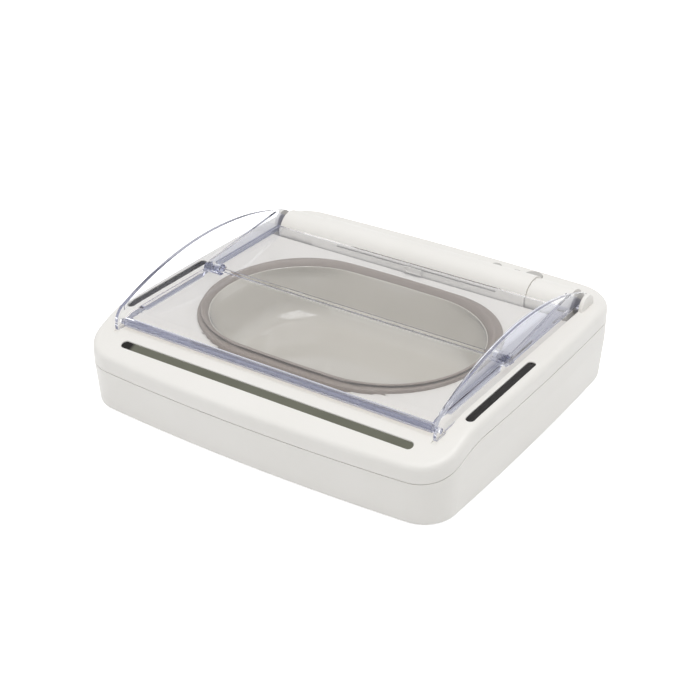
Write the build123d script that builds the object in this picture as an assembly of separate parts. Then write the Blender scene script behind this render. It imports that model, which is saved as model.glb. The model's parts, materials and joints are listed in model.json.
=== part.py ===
from build123d import *
import math
import os

# Sealed pet feeder: a white housing with a lift-out bowl, covered by a clear lid that folds in two.
# Millimetres, +Z up, +X to the right, -Y to the front. Origin: bottom centre, on the feet.

# ---- Driving dimensions: housing ----
WIDTH = 230.0
DEPTH = 206.0
FRONT_DROP = 11.5         # the front rim lies this far below the lands
RAMP_LENGTH = 47.0        # from the front rim back to the level lands
RAMP_EASE_LOW = 16.0
RAMP_EASE_HIGH = 20.0
FRONT_CORNER_R = 20.5
REAR_CORNER_R = 26.0
SIDE_BOW = 2.4
FRONT_BOW = 5.0
REAR_BOW = 3.0
WALL = 2.2
TOP_EDGE_R = 3.6
SEAM_DROP = 9.4           # parting line below the top surface
SEAM_GAP = 0.4
FOOT_INSET = 1.8          # how far the sides draw in towards the foot
FOOT_EDGE_R = 3.0
BASE_Z = 1.2              # underside of the housing above the ground
FLOOR = 1.8

# ---- Ears outside the arms' hubs, standing on the lands ----
EAR_R = 7.4
EAR_THICKNESS = 2.4
EAR_EDGE_R = 0.4

# ---- Sunken field under the lid ----
FIELD_DROP = 4.8          # below the lands
FIELD_SIDE_MARGIN = 12.8  # from the widest part of the housing

# ---- Bowl ----
BOWL_HALF_WIDTH = 85.0
BOWL_HALF_DEPTH = 58.0
BOWL_CENTRE_Y = -6.5
BOWL_CORNER_R = 48.0
BOWL_SIDE_BOW = 4.0
BOWL_FRONT_BOW = 1.5
BOWL_RIM_HEIGHT = 5.9     # above the field
BOWL_BOTTOM_Z = 11.0
BOWL_WALL = 2.4
BOWL_RIM_WIDTH = 6.4
BOWL_DRAFT = 9.0          # how far the bowl wall draws in from rim to floor
BOWL_FLOOR_R = 13.0
FLANGE_OVERHANG = 1.6
FLANGE_THICKNESS = 2.6
GROOVE_DEPTH = 2.0
BOWL_LIP = 0.8            # bare inner edge of the bowl inside its seal
TONGUE = (1.6, 1.0)       # reach and thickness of the bowl's tongue in the seal
SEAL_HEIGHT = 1.9
SEAL_SLOPE = 1.6          # the seal falls this far towards the bowl's mouth
WELL_CLEARANCE = 1.2
BOWL_SEAT_GAP = 0.05
WELL_WALL = 1.8
BOWL_FLOOR_GAP = 0.6      # under the bowl; its flange carries it

# ---- Lid panels ----
LID_SEAL_GAP = 0.6                  # between the closed lid and the seal
PANEL_THICKNESS = 1.8
PANEL_SIDE_GAP = 0.4                # the front panel is this much narrower on each side
PANEL_FRONT_RETURN = 7.0            # from the flat plate forward to the front rod
REAR_PANEL_END_GAP = 0.2            # in front of the tube's cover
MID_ROD_R = 1.3
MID_ROD_GAP = 0.3                   # from the mid rod to the rear plate that carries it
ROD_R = 2.4
RAIL_WIDTH = 1.8
RAIL_HEIGHT = 2.6
RAIL_END_MARGIN = 8.5               # from each end of the front plate
WEB_THICKNESS = 1.6
WEB_HUB_R = 2.6                     # of the rear panel's webs, on the end caps' stubs
STUB_R = 1.2
SHAFT_ROOM = 0.35                   # between the shaft and the web that hooks over it
WEB_SWING_DEG = 92.0                # a little more than the rear panel turns
KNUCKLE_R = 3.8
KNUCKLE_WIDTH = 4.2
KNUCKLE_GAP = 0.4

# ---- Arms ----
ARM_SIDE_GAP = 1.4                  # to the side wall of the field
ARM_THICKNESS = 1.8
ARM_TO_WEB_GAP = 0.8
WEB_TO_CAP_GAP = 0.4
ARM_GRIP_R = 6.0                    # round the shaft; the hub above it follows the arch
ARM_RISE = 18.6                     # top of the arch above the lid panels
ARM_ARCH_DROP = 17.1                # from there down to the arch's front end
ARM_NOSE_R = 9.6
ARM_REACH = 4.5                     # forward of the front pivot
ARM_FOOT_LENGTH = 9.0
ARM_FOOT_GAP = -0.4                 # to the field: the foot sinks into its notch
ARM_BOTTOM_GAP = 1.3
RIM_WIDTH = 2.3                     # inward flange along the arched edge
RIM_THICKNESS = 2.2
RIM_END_INSET = 14.0                # the flange ends this far ahead of the tube's axis

# ---- Lid linkage ----
FRONT_PIVOT_INSET = 25.5            # behind the housing's front
FRONT_PIVOT_DROP = 4.8              # below the top of the panels
FRONT_LINK = 72.0                   # front pivot to mid pivot
MID_PIVOT_DROP = 0.8
REAR_PIVOT_OFFSET = (5.2, 0.5)      # eccentric of the rear panel's bearing from the tube axis
PIN_R = 1.5
RUNNING_CLEARANCE = 0.05
OPEN_PIVOT_CLEARANCE = 0.95         # the mid pivot is the linkage's opened joint

# ---- Drive tube ----
DECK_STRIP = 16.4         # deck behind the tube's trough, for the controls
TUBE_DROP = 3.0           # its axis below the deck
TUBE_R = 11.3
TUBE_WALL = 1.8
CAP_THICKNESS = 1.8
CAP_PLUG = 3.0
TUBE_GAP = 0.4            # between the tube and the edges of its trough
COVER_THICKNESS = 0.9
COVER_MARGIN = 23.1       # from each end of the tube
COVER_LIP_DEG = -17.0     # front lip, measured from the horizontal
COVER_REAR_DEG = 5.0
SLIT_MARGIN = 17.7        # from each end of the cover
SLIT_HEIGHT = 0.8
SLIT_RISE = 2.4           # above the tube's axis
CATCH_HALF_WIDTH = 5.8
CATCH_HEIGHT = 3.6
CATCH_THICKNESS = 1.1
CATCH_TRAVEL = 0.7
CATCH_STEM_X = 4.3        # centre of each of its two stems
CATCH_STEM_WIDTH = 1.4
CATCH_STEM_HEIGHT = 1.2
CATCH_BOTTOM_GAP = 1.2    # above the field
CATCH_RECESS = (1.2, 0.5) # of the finger hollow: in from each side, and its depth

GROOVE = (0.5, 0.5)       # width and depth of the shadow line at each end of the cover

# ---- Drive train ----
SHAFT_R = 2.25
SHAFT_FLAT = 1.75                   # half width across the flats at the shaft's ends
BUSH_R = 3.2
BOSS_END_GAP = 0.5
GEAR_MODULE = 0.8
SHAFT_TEETH = 20
IDLER_PINION_TEETH = 12
IDLER_WHEEL_TEETH = 18
MOTOR_TEETH = 10
PRESSURE_DEG = 25.0
ADDENDUM = 0.8                      # of the module, short to clear the small pinions
DEDENDUM = 1.05
BACKLASH = 0.1
GEAR_WIDTH = 2.6
GEAR_SPACING = 0.5
IDLER_ANGLE_DEG = -45.0             # from the shaft to the idler, in the side view
MOTOR_ANGLE_DEG = -25.0             # from the idler to the motor
AXLE_R = 1.2
MOTOR_R = 6.0
MOTOR_LENGTH = 30.0
MOTOR_SHAFT_R = 1.0
BRACKET_THICKNESS = 1.6

# ---- Sensor windows ----
SLOT_WIDTH = 4.9
FRONT_SLOT_INSET = 15.3             # behind the housing's front
FRONT_SLOT_MARGIN = 26.0            # from the housing's side to the centre of its round end
SIDE_SLOT_GAP = 0.05                # from the window's flange to the field's side wall
SIDE_SLOT_FRONT_MARGIN = 41.4       # from the housing's front
SIDE_SLOT_LENGTH = 63.1
WINDOW_RECESS = 0.5
WINDOW_GAP = 0.12
WINDOW_FLANGE = 0.8                 # how far the window's flange reaches past the slot
WINDOW_FLANGE_THICKNESS = 1.2
SENSOR_BOARD_DROP = 4.7             # below the underside of the skin at the slot's lowest end
SENSOR_BOARD_WIDTH = 5.5
SENSOR_BOARD_THICKNESS = 1.2
SENSOR_POST_R = 1.4
SENSOR_POST_REACH = 6.4             # from the slot's end centre to the post beyond it

# ---- Controls ----
CONTROL_INSET = 10.6                # ahead of the housing's rear
LARGE_BUTTON_X = 61.5
LARGE_BUTTON_R = 5.4
SMALL_BUTTON_X = 37.5
SMALL_BUTTON_R = 3.2
LIGHT_X = 14.1
LIGHT_R = 1.1
BUTTON_STANDOUT = 0.5
BUTTON_TRAVEL = 0.7
BUTTON_GAP = 0.2
BUTTON_FLANGE = 1.0
BOARD_DROP = 3.7                    # below the underside of the deck
BOARD_THICKNESS = 1.4
BOARD_X = (8.0, 70.0)
BOARD_DEPTH = 11.0
SWITCH_HEIGHT = 1.2

# ---- Batteries and underside ----
CELL_R = 13.1
CELL_LENGTH = 50.0
BAY_INSET = 18.4                    # the bays' rear ahead of the housing's rear
CELL_FLOOR_GAP = 0.8                # over the doors
CELL_ROOF_GAP = 1.9                 # from the cells to the tube's trough
CELL_CLEARANCE = 0.3
CELL_INNER_X = 5.2
CONTACT_THICKNESS = 0.6
BAY_WALL = 1.4
DOOR_MARGIN = 3.3                   # the door is this much shorter than the cells at each end
DOOR_GAP = 0.35
DOOR_SWING_GAP = 0.6                # ahead of the barrel, for the door to swing past upright
DOOR_THICKNESS = 1.8
DOOR_BARREL_R = 2.0
TRUNNION_R = 1.0
FOOT_R = 5.0
FOOT_RECESS = 0.8
FRONT_FOOT_INSET = (29.0, 19.0)     # from the side and the front of the housing
REAR_FOOT_INSET = (45.0, 12.0)      # from the side and the rear
SCREW_R = 1.5
SCREW_HEAD_R = 2.9
FRONT_SCREW_INSET = (17.0, 37.0)    # from the side and the front
SIDE_SCREW_INSET = (12.0, 133.0)
REAR_SCREW_INSET = 9.5              # from the rear, between the two buttons
SCREW_TIP_DROP = 14.5               # below the deck
BOSS_R = 3.6                        # upper bosses; the lower ones are wider by their screw seat
BOSS_SPLIT_Z = 24.0
BOSS_SEAT_Z = 8.0

# ---- Heights that follow: the cells and the tube above them set the deck ----
COVER_R = TUBE_R + COVER_THICKNESS
TROUGH_R = COVER_R + TUBE_GAP
DECK_Z = BASE_Z + FLOOR + CELL_FLOOR_GAP + 2 * CELL_R + CELL_ROOF_GAP + TROUGH_R + TUBE_DROP
FRONT_Z = DECK_Z - FRONT_DROP
FIELD_Z = DECK_Z - FIELD_DROP
FLOOR_Z = BASE_Z + FLOOR
SHOULDER_Z = FRONT_Z - SEAM_DROP - SEAM_GAP
BOWL_TOP_Z = FIELD_Z + BOWL_RIM_HEIGHT
PANEL_BOTTOM_Z = BOWL_TOP_Z + LID_SEAL_GAP
PANEL_TOP_Z = PANEL_BOTTOM_Z + PANEL_THICKNESS
ARM_TOP_Z = PANEL_TOP_Z + ARM_RISE
TUBE_Z = DECK_Z - TUBE_DROP
SLIT_Z = TUBE_Z + SLIT_RISE
CELL_Z = FLOOR_Z + CELL_FLOOR_GAP + CELL_R
SCREW_TIP_Z = DECK_Z - SCREW_TIP_DROP

# ---- Widths that follow, from the field's side wall inwards ----
FIELD_HALF_WIDTH = WIDTH / 2 - FIELD_SIDE_MARGIN
ARM_OUTER_X = FIELD_HALF_WIDTH - ARM_SIDE_GAP
ARM_INNER_X = ARM_OUTER_X - ARM_THICKNESS
WEB_OUTER_X = ARM_INNER_X - ARM_TO_WEB_GAP
WEB_INNER_X = WEB_OUTER_X - WEB_THICKNESS
PANEL_HALF_WIDTH = WEB_INNER_X
CAP_OUTER_X = WEB_INNER_X - WEB_TO_CAP_GAP
TUBE_HALF_LENGTH = CAP_OUTER_X - CAP_THICKNESS
COVER_HALF_LENGTH = TUBE_HALF_LENGTH - COVER_MARGIN
SLIT_HALF_LENGTH = COVER_HALF_LENGTH - SLIT_MARGIN

# ---- Depths that follow, and the pivots in the side view (Y, Z) ----
FRONT_Y = -DEPTH / 2
REAR_Y = DEPTH / 2
RAMP_START_Y = FRONT_Y - 1.0
RAMP_END_Y = RAMP_START_Y + RAMP_LENGTH
TUBE_Y = REAR_Y - DECK_STRIP - TROUGH_R
TUBE_AXIS = (TUBE_Y, TUBE_Z)
FRONT_PIVOT = (FRONT_Y + FRONT_PIVOT_INSET, PANEL_TOP_Z - FRONT_PIVOT_DROP)
MID_PIVOT = (FRONT_PIVOT[0] + FRONT_LINK, PANEL_TOP_Z - MID_PIVOT_DROP)
REAR_PIVOT = (TUBE_Y + REAR_PIVOT_OFFSET[0], TUBE_Z + REAR_PIVOT_OFFSET[1])
PANEL_FRONT_Y = FRONT_PIVOT[0] + PANEL_FRONT_RETURN
REAR_PANEL_END_Y = TUBE_Y - COVER_R - REAR_PANEL_END_GAP
ARM_FRONT_Y = FRONT_PIVOT[0] - ARM_REACH
CONTROL_Y = REAR_Y - CONTROL_INSET
CELL_Y = REAR_Y - BAY_INSET - CELL_R
FAR = 3 * WIDTH                     # longer than anything in the model

# ---- Arch of the lid arms: it runs onto a hub that stands level with the deck ----
ARCH_R = (ARM_FRONT_Y**2 + ARM_ARCH_DROP**2) / (2 * ARM_ARCH_DROP)
ARCH_CENTRE = (0, ARM_TOP_Z - ARCH_R)
ARM_HUB = (TUBE_Y, DECK_Z)
ARM_HUB_REACH = math.dist(ARCH_CENTRE, ARM_HUB)
ARM_HUB_R = ARCH_R - ARM_HUB_REACH
ARM_END_Y = TUBE_Y + ARM_HUB_R * TUBE_Y / ARM_HUB_REACH


os.makedirs("parts", exist_ok=True)


def export(name, shape):
    """Write one sub-part."""
    export_step(shape, f"parts/{name}.step")
    return shape


def bowed_rectangle(half_width, half_depth, bows, radii, inset=0.0, centre_y=0.0):
    """Rectangle with outward-bowed sides and round corners, moved in by inset.

    bows are the side, front and rear sagittas; radii are the front and rear corner radii.
    """
    side_bow, front_bow, rear_bow = bows
    w = half_width - inset
    d = half_depth - inset
    corner_x = w - side_bow
    front_y = -(d - front_bow)
    rear_y = d - rear_bow
    middle_y = (front_y + rear_y) / 2
    outline = Wire([
        ThreePointArc((-corner_x, front_y), (0, -d), (corner_x, front_y)).edge(),
        ThreePointArc((corner_x, front_y), (w, middle_y), (corner_x, rear_y)).edge(),
        ThreePointArc((corner_x, rear_y), (0, d), (-corner_x, rear_y)).edge(),
        ThreePointArc((-corner_x, rear_y), (-w, middle_y), (-corner_x, front_y)).edge(),
    ])
    face = make_face(outline)
    front_corners = face.vertices().filter_by(lambda v: v.Y < 0)
    face = fillet(front_corners, radii[0] - inset)
    rear_corners = [v for v in face.vertices()
                    if abs(v.Y - rear_y) < 0.01 and abs(abs(v.X) - corner_x) < 0.01]
    face = fillet(rear_corners, radii[1] - inset)
    return Pos(0, centre_y) * face


def housing_plan(inset=0.0):
    """Plan outline of the housing."""
    return bowed_rectangle(WIDTH / 2, DEPTH / 2, (SIDE_BOW, FRONT_BOW, REAR_BOW),
                           (FRONT_CORNER_R, REAR_CORNER_R), inset)


def bowl_plan(inset=0.0):
    """Plan outline of the bowl's rim."""
    bows = (BOWL_SIDE_BOW, BOWL_FRONT_BOW, BOWL_FRONT_BOW)
    return bowed_rectangle(BOWL_HALF_WIDTH, BOWL_HALF_DEPTH, bows, (BOWL_CORNER_R, BOWL_CORNER_R), inset,
                           BOWL_CENTRE_Y)


def side_view(sketch, x_from, x_to):
    """Extrude a side-view sketch (its X is Y, its Y is Z) between two X planes."""
    return Pos(x_from, 0, 0) * extrude(Plane.YZ * sketch, x_to - x_from)


def both_sides(shape):
    """The shape and its mirror image in the YZ plane."""
    return shape + mirror(shape, Plane.YZ)


def under_land(drop):
    """Everything below the housing's top surface, lowered by drop."""
    low, high = FRONT_Z - drop, DECK_Z - drop
    land = [
        Line((-FAR / 2, low), (RAMP_START_Y, low)).edge(),
        Bezier((RAMP_START_Y, low), (RAMP_START_Y + RAMP_EASE_LOW, low),
               (RAMP_END_Y - RAMP_EASE_HIGH, high), (RAMP_END_Y, high)).edge(),
        Line((RAMP_END_Y, high), (FAR / 2, high)).edge(),
        Line((FAR / 2, high), (FAR / 2, -50)).edge(),
        Line((FAR / 2, -50), (-FAR / 2, -50)).edge(),
        Line((-FAR / 2, -50), (-FAR / 2, low)).edge(),
    ]
    return side_view(make_face(Wire(land)), -FAR / 2, FAR / 2)


def cylinder_x(radius, x_from, x_to, centre):
    """Cylinder along X about a side-view point."""
    return side_view(Pos(*centre) * Circle(radius), x_from, x_to)


def cylinder_z(radius, z_from, z_to, x, y):
    """Upright cylinder."""
    return Pos(x, y, z_from) * extrude(Circle(radius), z_to - z_from)


def box(x0, x1, y0, y1, z0, z1):
    """Box by its corners."""
    return Pos((x0 + x1) / 2, (y0 + y1) / 2, (z0 + z1) / 2) * Box(x1 - x0, y1 - y0, z1 - z0)


def prism(face, z_from, z_to):
    """Extrude a plan face between two heights."""
    return Pos(0, 0, z_from) * extrude(face, z_to - z_from)


def drawn_in(face, z_top, z_bottom, inset):
    """Solid under a plan face, drawing in evenly by inset on the way down."""
    depth = z_top - z_bottom
    taper = math.degrees(math.atan(inset / depth))
    return extrude(Pos(0, 0, z_top) * face, depth, dir=(0, 0, -1), taper=taper)


def land_band(shape, upper_drop, lower_drop):
    """The part of a shape between two levels below the top surface."""
    return shape & (under_land(upper_drop) - under_land(lower_drop))


def hull_of(*circles):
    """Side-view outline around circles given as ((y, z), radius)."""
    return make_hull([(Pos(*centre) * Circle(radius)).edge() for centre, radius in circles])


def slot_plan(ends, width):
    """Plan face of a round-ended slot; ends are x0, y0, x1, y1 of its end centres."""
    x0, y0, x1, y1 = ends
    return hull_of(((x0, y0), width / 2), ((x1, y1), width / 2))


def point_at(origin, radius, angle_deg):
    """Side-view point at a distance and angle from another."""
    angle = math.radians(angle_deg)
    return (origin[0] + radius * math.cos(angle), origin[1] + radius * math.sin(angle))


# ---- Gear train ----
IDLER_AXIS = point_at(TUBE_AXIS, GEAR_MODULE * (SHAFT_TEETH + IDLER_PINION_TEETH) / 2, IDLER_ANGLE_DEG)
MOTOR_AXIS = point_at(IDLER_AXIS, GEAR_MODULE * (IDLER_WHEEL_TEETH + MOTOR_TEETH) / 2, MOTOR_ANGLE_DEG)
FIRST_MESH_X = (-GEAR_WIDTH - GEAR_SPACING / 2, -GEAR_SPACING / 2)
SECOND_MESH_X = (GEAR_SPACING / 2, GEAR_WIDTH + GEAR_SPACING / 2)
BRACKET_MOTOR_X = SECOND_MESH_X[1] + 1.3
BRACKET_FAR_X = FIRST_MESH_X[0] - 0.5 - BRACKET_THICKNESS
IDLER_TIP_R = GEAR_MODULE * (IDLER_WHEEL_TEETH / 2 + ADDENDUM)
BRIDGE_Y = (IDLER_AXIS[0] + IDLER_TIP_R + 0.7, REAR_Y - 4.6)
BRIDGE_Z = (MOTOR_AXIS[1] + MOTOR_R + 1.3, MOTOR_AXIS[1] + MOTOR_R + 2.9)

# ---- Bowl rim and well ----
FLANGE_TOP_Z = FIELD_Z + BOWL_SEAT_GAP + FLANGE_THICKNESS
SEAL_BOTTOM_Z = BOWL_TOP_Z - SEAL_HEIGHT
BODY_INSET = BOWL_RIM_WIDTH - BOWL_WALL
WELL_INSET = BODY_INSET - WELL_CLEARANCE
WELL_BOTTOM_Z = BOWL_BOTTOM_Z - BOWL_FLOOR_GAP

# ---- Sensor slots: end centres x0, y0, x1, y1 ----
FRONT_SLOT_HALF = WIDTH / 2 - FRONT_SLOT_MARGIN
SIDE_SLOT_X = FIELD_HALF_WIDTH + WALL + SIDE_SLOT_GAP + WINDOW_FLANGE + SLOT_WIDTH / 2
SIDE_SLOT_Y = (FRONT_Y + SIDE_SLOT_FRONT_MARGIN, FRONT_Y + SIDE_SLOT_FRONT_MARGIN + SIDE_SLOT_LENGTH)
SLOTS = {
    "front": (-FRONT_SLOT_HALF, FRONT_Y + FRONT_SLOT_INSET, FRONT_SLOT_HALF, FRONT_Y + FRONT_SLOT_INSET),
    "right": (SIDE_SLOT_X, SIDE_SLOT_Y[0], SIDE_SLOT_X, SIDE_SLOT_Y[1]),
    "left": (-SIDE_SLOT_X, SIDE_SLOT_Y[0], -SIDE_SLOT_X, SIDE_SLOT_Y[1]),
}
SIDE_BOARD_TOP = DECK_Z - WALL - SENSOR_BOARD_DROP
SENSOR_BOARD_TOP = {"front": FRONT_Z + 1.7 - SENSOR_BOARD_DROP, "right": SIDE_BOARD_TOP, "left": SIDE_BOARD_TOP}

# ---- Controls ----
BOARD_TOP_Z = DECK_Z - WALL - BOARD_DROP
BOARD_Y = (REAR_Y - 4.8 - BOARD_DEPTH, REAR_Y - 4.8)
SWITCH_TOP_Z = BOARD_TOP_Z + SWITCH_HEIGHT
BUTTON_BOTTOM_Z = SWITCH_TOP_Z + BUTTON_TRAVEL + 0.1
BUTTON_FLANGE_TOP_Z = DECK_Z - WALL - 0.05
BUTTONS = {"large": (LARGE_BUTTON_X, LARGE_BUTTON_R), "small": (SMALL_BUTTON_X, SMALL_BUTTON_R)}

# ---- Tube trough and pockets ----
POCKET_WALL = 1.2
POCKET_INNER_X = CAP_OUTER_X - 1.0
TROUGH_END_X = CAP_OUTER_X + 0.8
HUB_POCKET_R = TUBE_DROP + ARM_HUB_R + 1.5
SADDLE_X = (TUBE_HALF_LENGTH - 14.4, TUBE_HALF_LENGTH - 11.9)

# ---- Battery bays and doors ----
CELL_OUTER_X = CELL_INNER_X + 2 * CELL_LENGTH
BAY_INNER_X = (CELL_INNER_X - CONTACT_THICKNESS - 1.6, CELL_INNER_X - CONTACT_THICKNESS)
BAY_OUTER_X = (CELL_OUTER_X + CONTACT_THICKNESS, CELL_OUTER_X + CONTACT_THICKNESS + 1.6)
DOOR_INNER_X = CELL_INNER_X + DOOR_MARGIN
DOOR_OUTER_X = CELL_OUTER_X - DOOR_MARGIN + 1.6
DOOR_HINGE_Y = CELL_Y - CELL_R + 1.6
DOOR_REAR_Y = CELL_Y + CELL_R
DOOR_HINGE = (DOOR_HINGE_Y, BASE_Z + DOOR_BARREL_R)
DOOR_OPENING_Y = (DOOR_HINGE_Y - DOOR_BARREL_R - DOOR_SWING_GAP, DOOR_REAR_Y + DOOR_GAP)
BAY_FRONT_Y = (DOOR_OPENING_Y[0] - 0.35 - BAY_WALL, DOOR_OPENING_Y[0] - 0.35)
BAY_REAR_Y = (DOOR_OPENING_Y[1] + 0.25, DOOR_OPENING_Y[1] + 0.25 + BAY_WALL)
BAY_WALL_TOP_Z = CELL_Z + 5.1
BAY_TOP_Z = min(CELL_Z + CELL_R + 1.9, TUBE_Z - TUBE_R - 1.2)
RIB_THICKNESS = 1.6

# ---- Fixings ----
FOOT_SPOTS = [(side * (WIDTH / 2 - inset[0]), y) for side in (-1, 1)
              for inset, y in ((FRONT_FOOT_INSET, FRONT_Y + FRONT_FOOT_INSET[1]),
                               (REAR_FOOT_INSET, REAR_Y - REAR_FOOT_INSET[1]))]
REAR_SCREW_X = (SMALL_BUTTON_X + SMALL_BUTTON_R + LARGE_BUTTON_X - LARGE_BUTTON_R) / 2 - 0.4
SCREW_SPOTS = [(side * x, y) for side in (-1, 1)
               for x, y in ((WIDTH / 2 - FRONT_SCREW_INSET[0], FRONT_Y + FRONT_SCREW_INSET[1]),
                            (WIDTH / 2 - SIDE_SCREW_INSET[0], FRONT_Y + SIDE_SCREW_INSET[1]),
                            (REAR_SCREW_X, REAR_Y - REAR_SCREW_INSET))]
BOSS_SEAT_R = SCREW_HEAD_R + 0.2
LOWER_BOSS_R = BOSS_SEAT_R + 1.5

# ---- Lid details ----
ARM_FOOT_Y = (ARM_FRONT_Y, ARM_FRONT_Y + ARM_FOOT_LENGTH)
ARM_FOOT_Z = FIELD_Z + ARM_FOOT_GAP
PLATE_FRONT_END_Y = MID_PIVOT[0] - MID_ROD_R - OPEN_PIVOT_CLEARANCE
PLATE_REAR_START_Y = MID_PIVOT[0] + MID_ROD_R + MID_ROD_GAP
REAR_KNUCKLE_X = (WEB_INNER_X - KNUCKLE_WIDTH - 0.5, WEB_INNER_X)
FRONT_KNUCKLE_X = (REAR_KNUCKLE_X[0] - KNUCKLE_GAP - KNUCKLE_WIDTH, REAR_KNUCKLE_X[0] - KNUCKLE_GAP)
WEB_SHOULDER = (TUBE_Y - 13.0, PANEL_TOP_Z + 6.0)
WEB_SHOULDER_R = 2.6


# ---- Housing ----
def make_shells():
    """The upper and lower halves of the housing, split along the S-curved parting line."""
    whole = prism(housing_plan(), SHOULDER_Z, DECK_Z + 10) & under_land(0)
    rim = [e for e in whole.edges()
           if e.center().Z > SHOULDER_Z + 4 and e.bounding_box().size.X + e.bounding_box().size.Y > 0.5]
    whole = fillet(rim, TOP_EDGE_R)
    upper = whole - under_land(SEAM_DROP)
    lower = whole & under_land(SEAM_DROP + SEAM_GAP)
    return finish_upper(upper), finish_lower(lower)


def finish_upper(shell):
    """Hollow the top half and give it the field, well, trough, pockets, slots and bosses."""
    tongue = prism(housing_plan(WALL - 1.0), 0, DECK_Z) - prism(housing_plan(WALL), 0, DECK_Z)
    shell += land_band(tongue, SEAM_DROP - 0.5, SEAM_DROP + SEAM_GAP + 1.9)

    hollow = prism(housing_plan(WALL), 0, DECK_Z) & under_land(WALL)
    hollow -= box(-FIELD_HALF_WIDTH - WALL, FIELD_HALF_WIDTH + WALL, -DEPTH, TUBE_Y, FIELD_Z - WALL, FAR)
    cups = cylinder_x(HUB_POCKET_R + POCKET_WALL, POCKET_INNER_X, FIELD_HALF_WIDTH + POCKET_WALL, TUBE_AXIS)
    saddles = box(*SADDLE_X, TUBE_Y - TROUGH_R - 3, TUBE_Y + TROUGH_R + 3, TUBE_Z - TUBE_R - 2, FAR)
    inner = both_sides(cups) + both_sides(saddles)
    inner += box(-4.0, 4.0, BRIDGE_Y[0] + 0.6, BRIDGE_Y[1] - 0.6, BRIDGE_Z[1], FAR)
    for x, y in SCREW_SPOTS:
        inner += cylinder_z(BOSS_R, BOSS_SPLIT_Z + 0.05, FAR, x, y)
    for x in (BOARD_X[0] + 2.0, (LARGE_BUTTON_X + SMALL_BUTTON_X) / 2 + 4.5):
        inner += cylinder_z(1.2, BOARD_TOP_Z, FAR, x, BOARD_Y[0] + 1.6)
    for name, (x0, y0, x1, y1) in SLOTS.items():
        reach_x, reach_y = (SENSOR_POST_REACH, 0) if name == "front" else (0, SENSOR_POST_REACH)
        for x, y in ((x0 - reach_x, y0 - reach_y), (x1 + reach_x, y1 + reach_y)):
            inner += cylinder_z(SENSOR_POST_R, SENSOR_BOARD_TOP[name], FAR, x, y)
    shell = shell - hollow + (inner & (prism(housing_plan(WALL), 0, DECK_Z) & under_land(WALL - 0.1)))

    well = drawn_in(bowl_plan(WELL_INSET - WELL_WALL), FIELD_Z, WELL_BOTTOM_Z - WELL_WALL, BOWL_DRAFT)
    shell += fillet(well.faces().sort_by(Axis.Z)[0].edges(), BOWL_FLOOR_R)
    well = drawn_in(bowl_plan(WELL_INSET), FIELD_Z + 0.01, WELL_BOTTOM_Z, BOWL_DRAFT)
    shell -= fillet(well.faces().sort_by(Axis.Z)[0].edges(), BOWL_FLOOR_R)

    shell -= box(-FIELD_HALF_WIDTH, FIELD_HALF_WIDTH, -DEPTH, TUBE_Y - TUBE_R, FIELD_Z, FAR)
    shell -= cylinder_x(TROUGH_R, -SADDLE_X[0], SADDLE_X[0], TUBE_AXIS)
    shell -= box(-TROUGH_END_X, TROUGH_END_X, TUBE_Y - TROUGH_R, TUBE_Y + TUBE_R + 0.5, TUBE_Z - 4, FAR)
    shell -= cylinder_x(TUBE_R, -TROUGH_END_X, TROUGH_END_X, TUBE_AXIS)
    pockets = cylinder_x(HUB_POCKET_R, POCKET_INNER_X - 0.1, FIELD_HALF_WIDTH, TUBE_AXIS)
    pockets += box(CAP_OUTER_X + 0.2, FIELD_HALF_WIDTH, TUBE_Y - TUBE_R - 1, TUBE_Y, FIELD_Z, FAR)
    shell -= both_sides(pockets)
    ear = cylinder_x(EAR_R, FIELD_HALF_WIDTH, FIELD_HALF_WIDTH + EAR_THICKNESS, ARM_HUB)
    ear = fillet(ear.edges(), EAR_EDGE_R) & box(0, FAR, 0, FAR, DECK_Z - WALL / 2, FAR)
    shell += both_sides(ear)
    notch = box(ARM_INNER_X - 0.7, ARM_OUTER_X + 0.7, ARM_FOOT_Y[0] - 2.5, ARM_FOOT_Y[1] + 0.8,
                ARM_FOOT_Z - 1.1, FAR)
    shell -= both_sides(notch)
    for ends in SLOTS.values():
        shell -= prism(slot_plan(ends, SLOT_WIDTH), FRONT_Z - WALL - 4, FAR)
    for x, radius in (*BUTTONS.values(), (LIGHT_X, LIGHT_R)):
        shell -= cylinder_z(radius + BUTTON_GAP, DECK_Z - WALL - 0.01, FAR, x, CONTROL_Y)
    for x, y in SCREW_SPOTS:
        shell -= cylinder_z(SCREW_R, 0, SCREW_TIP_Z + 1.0, x, y)
    return shell


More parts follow.
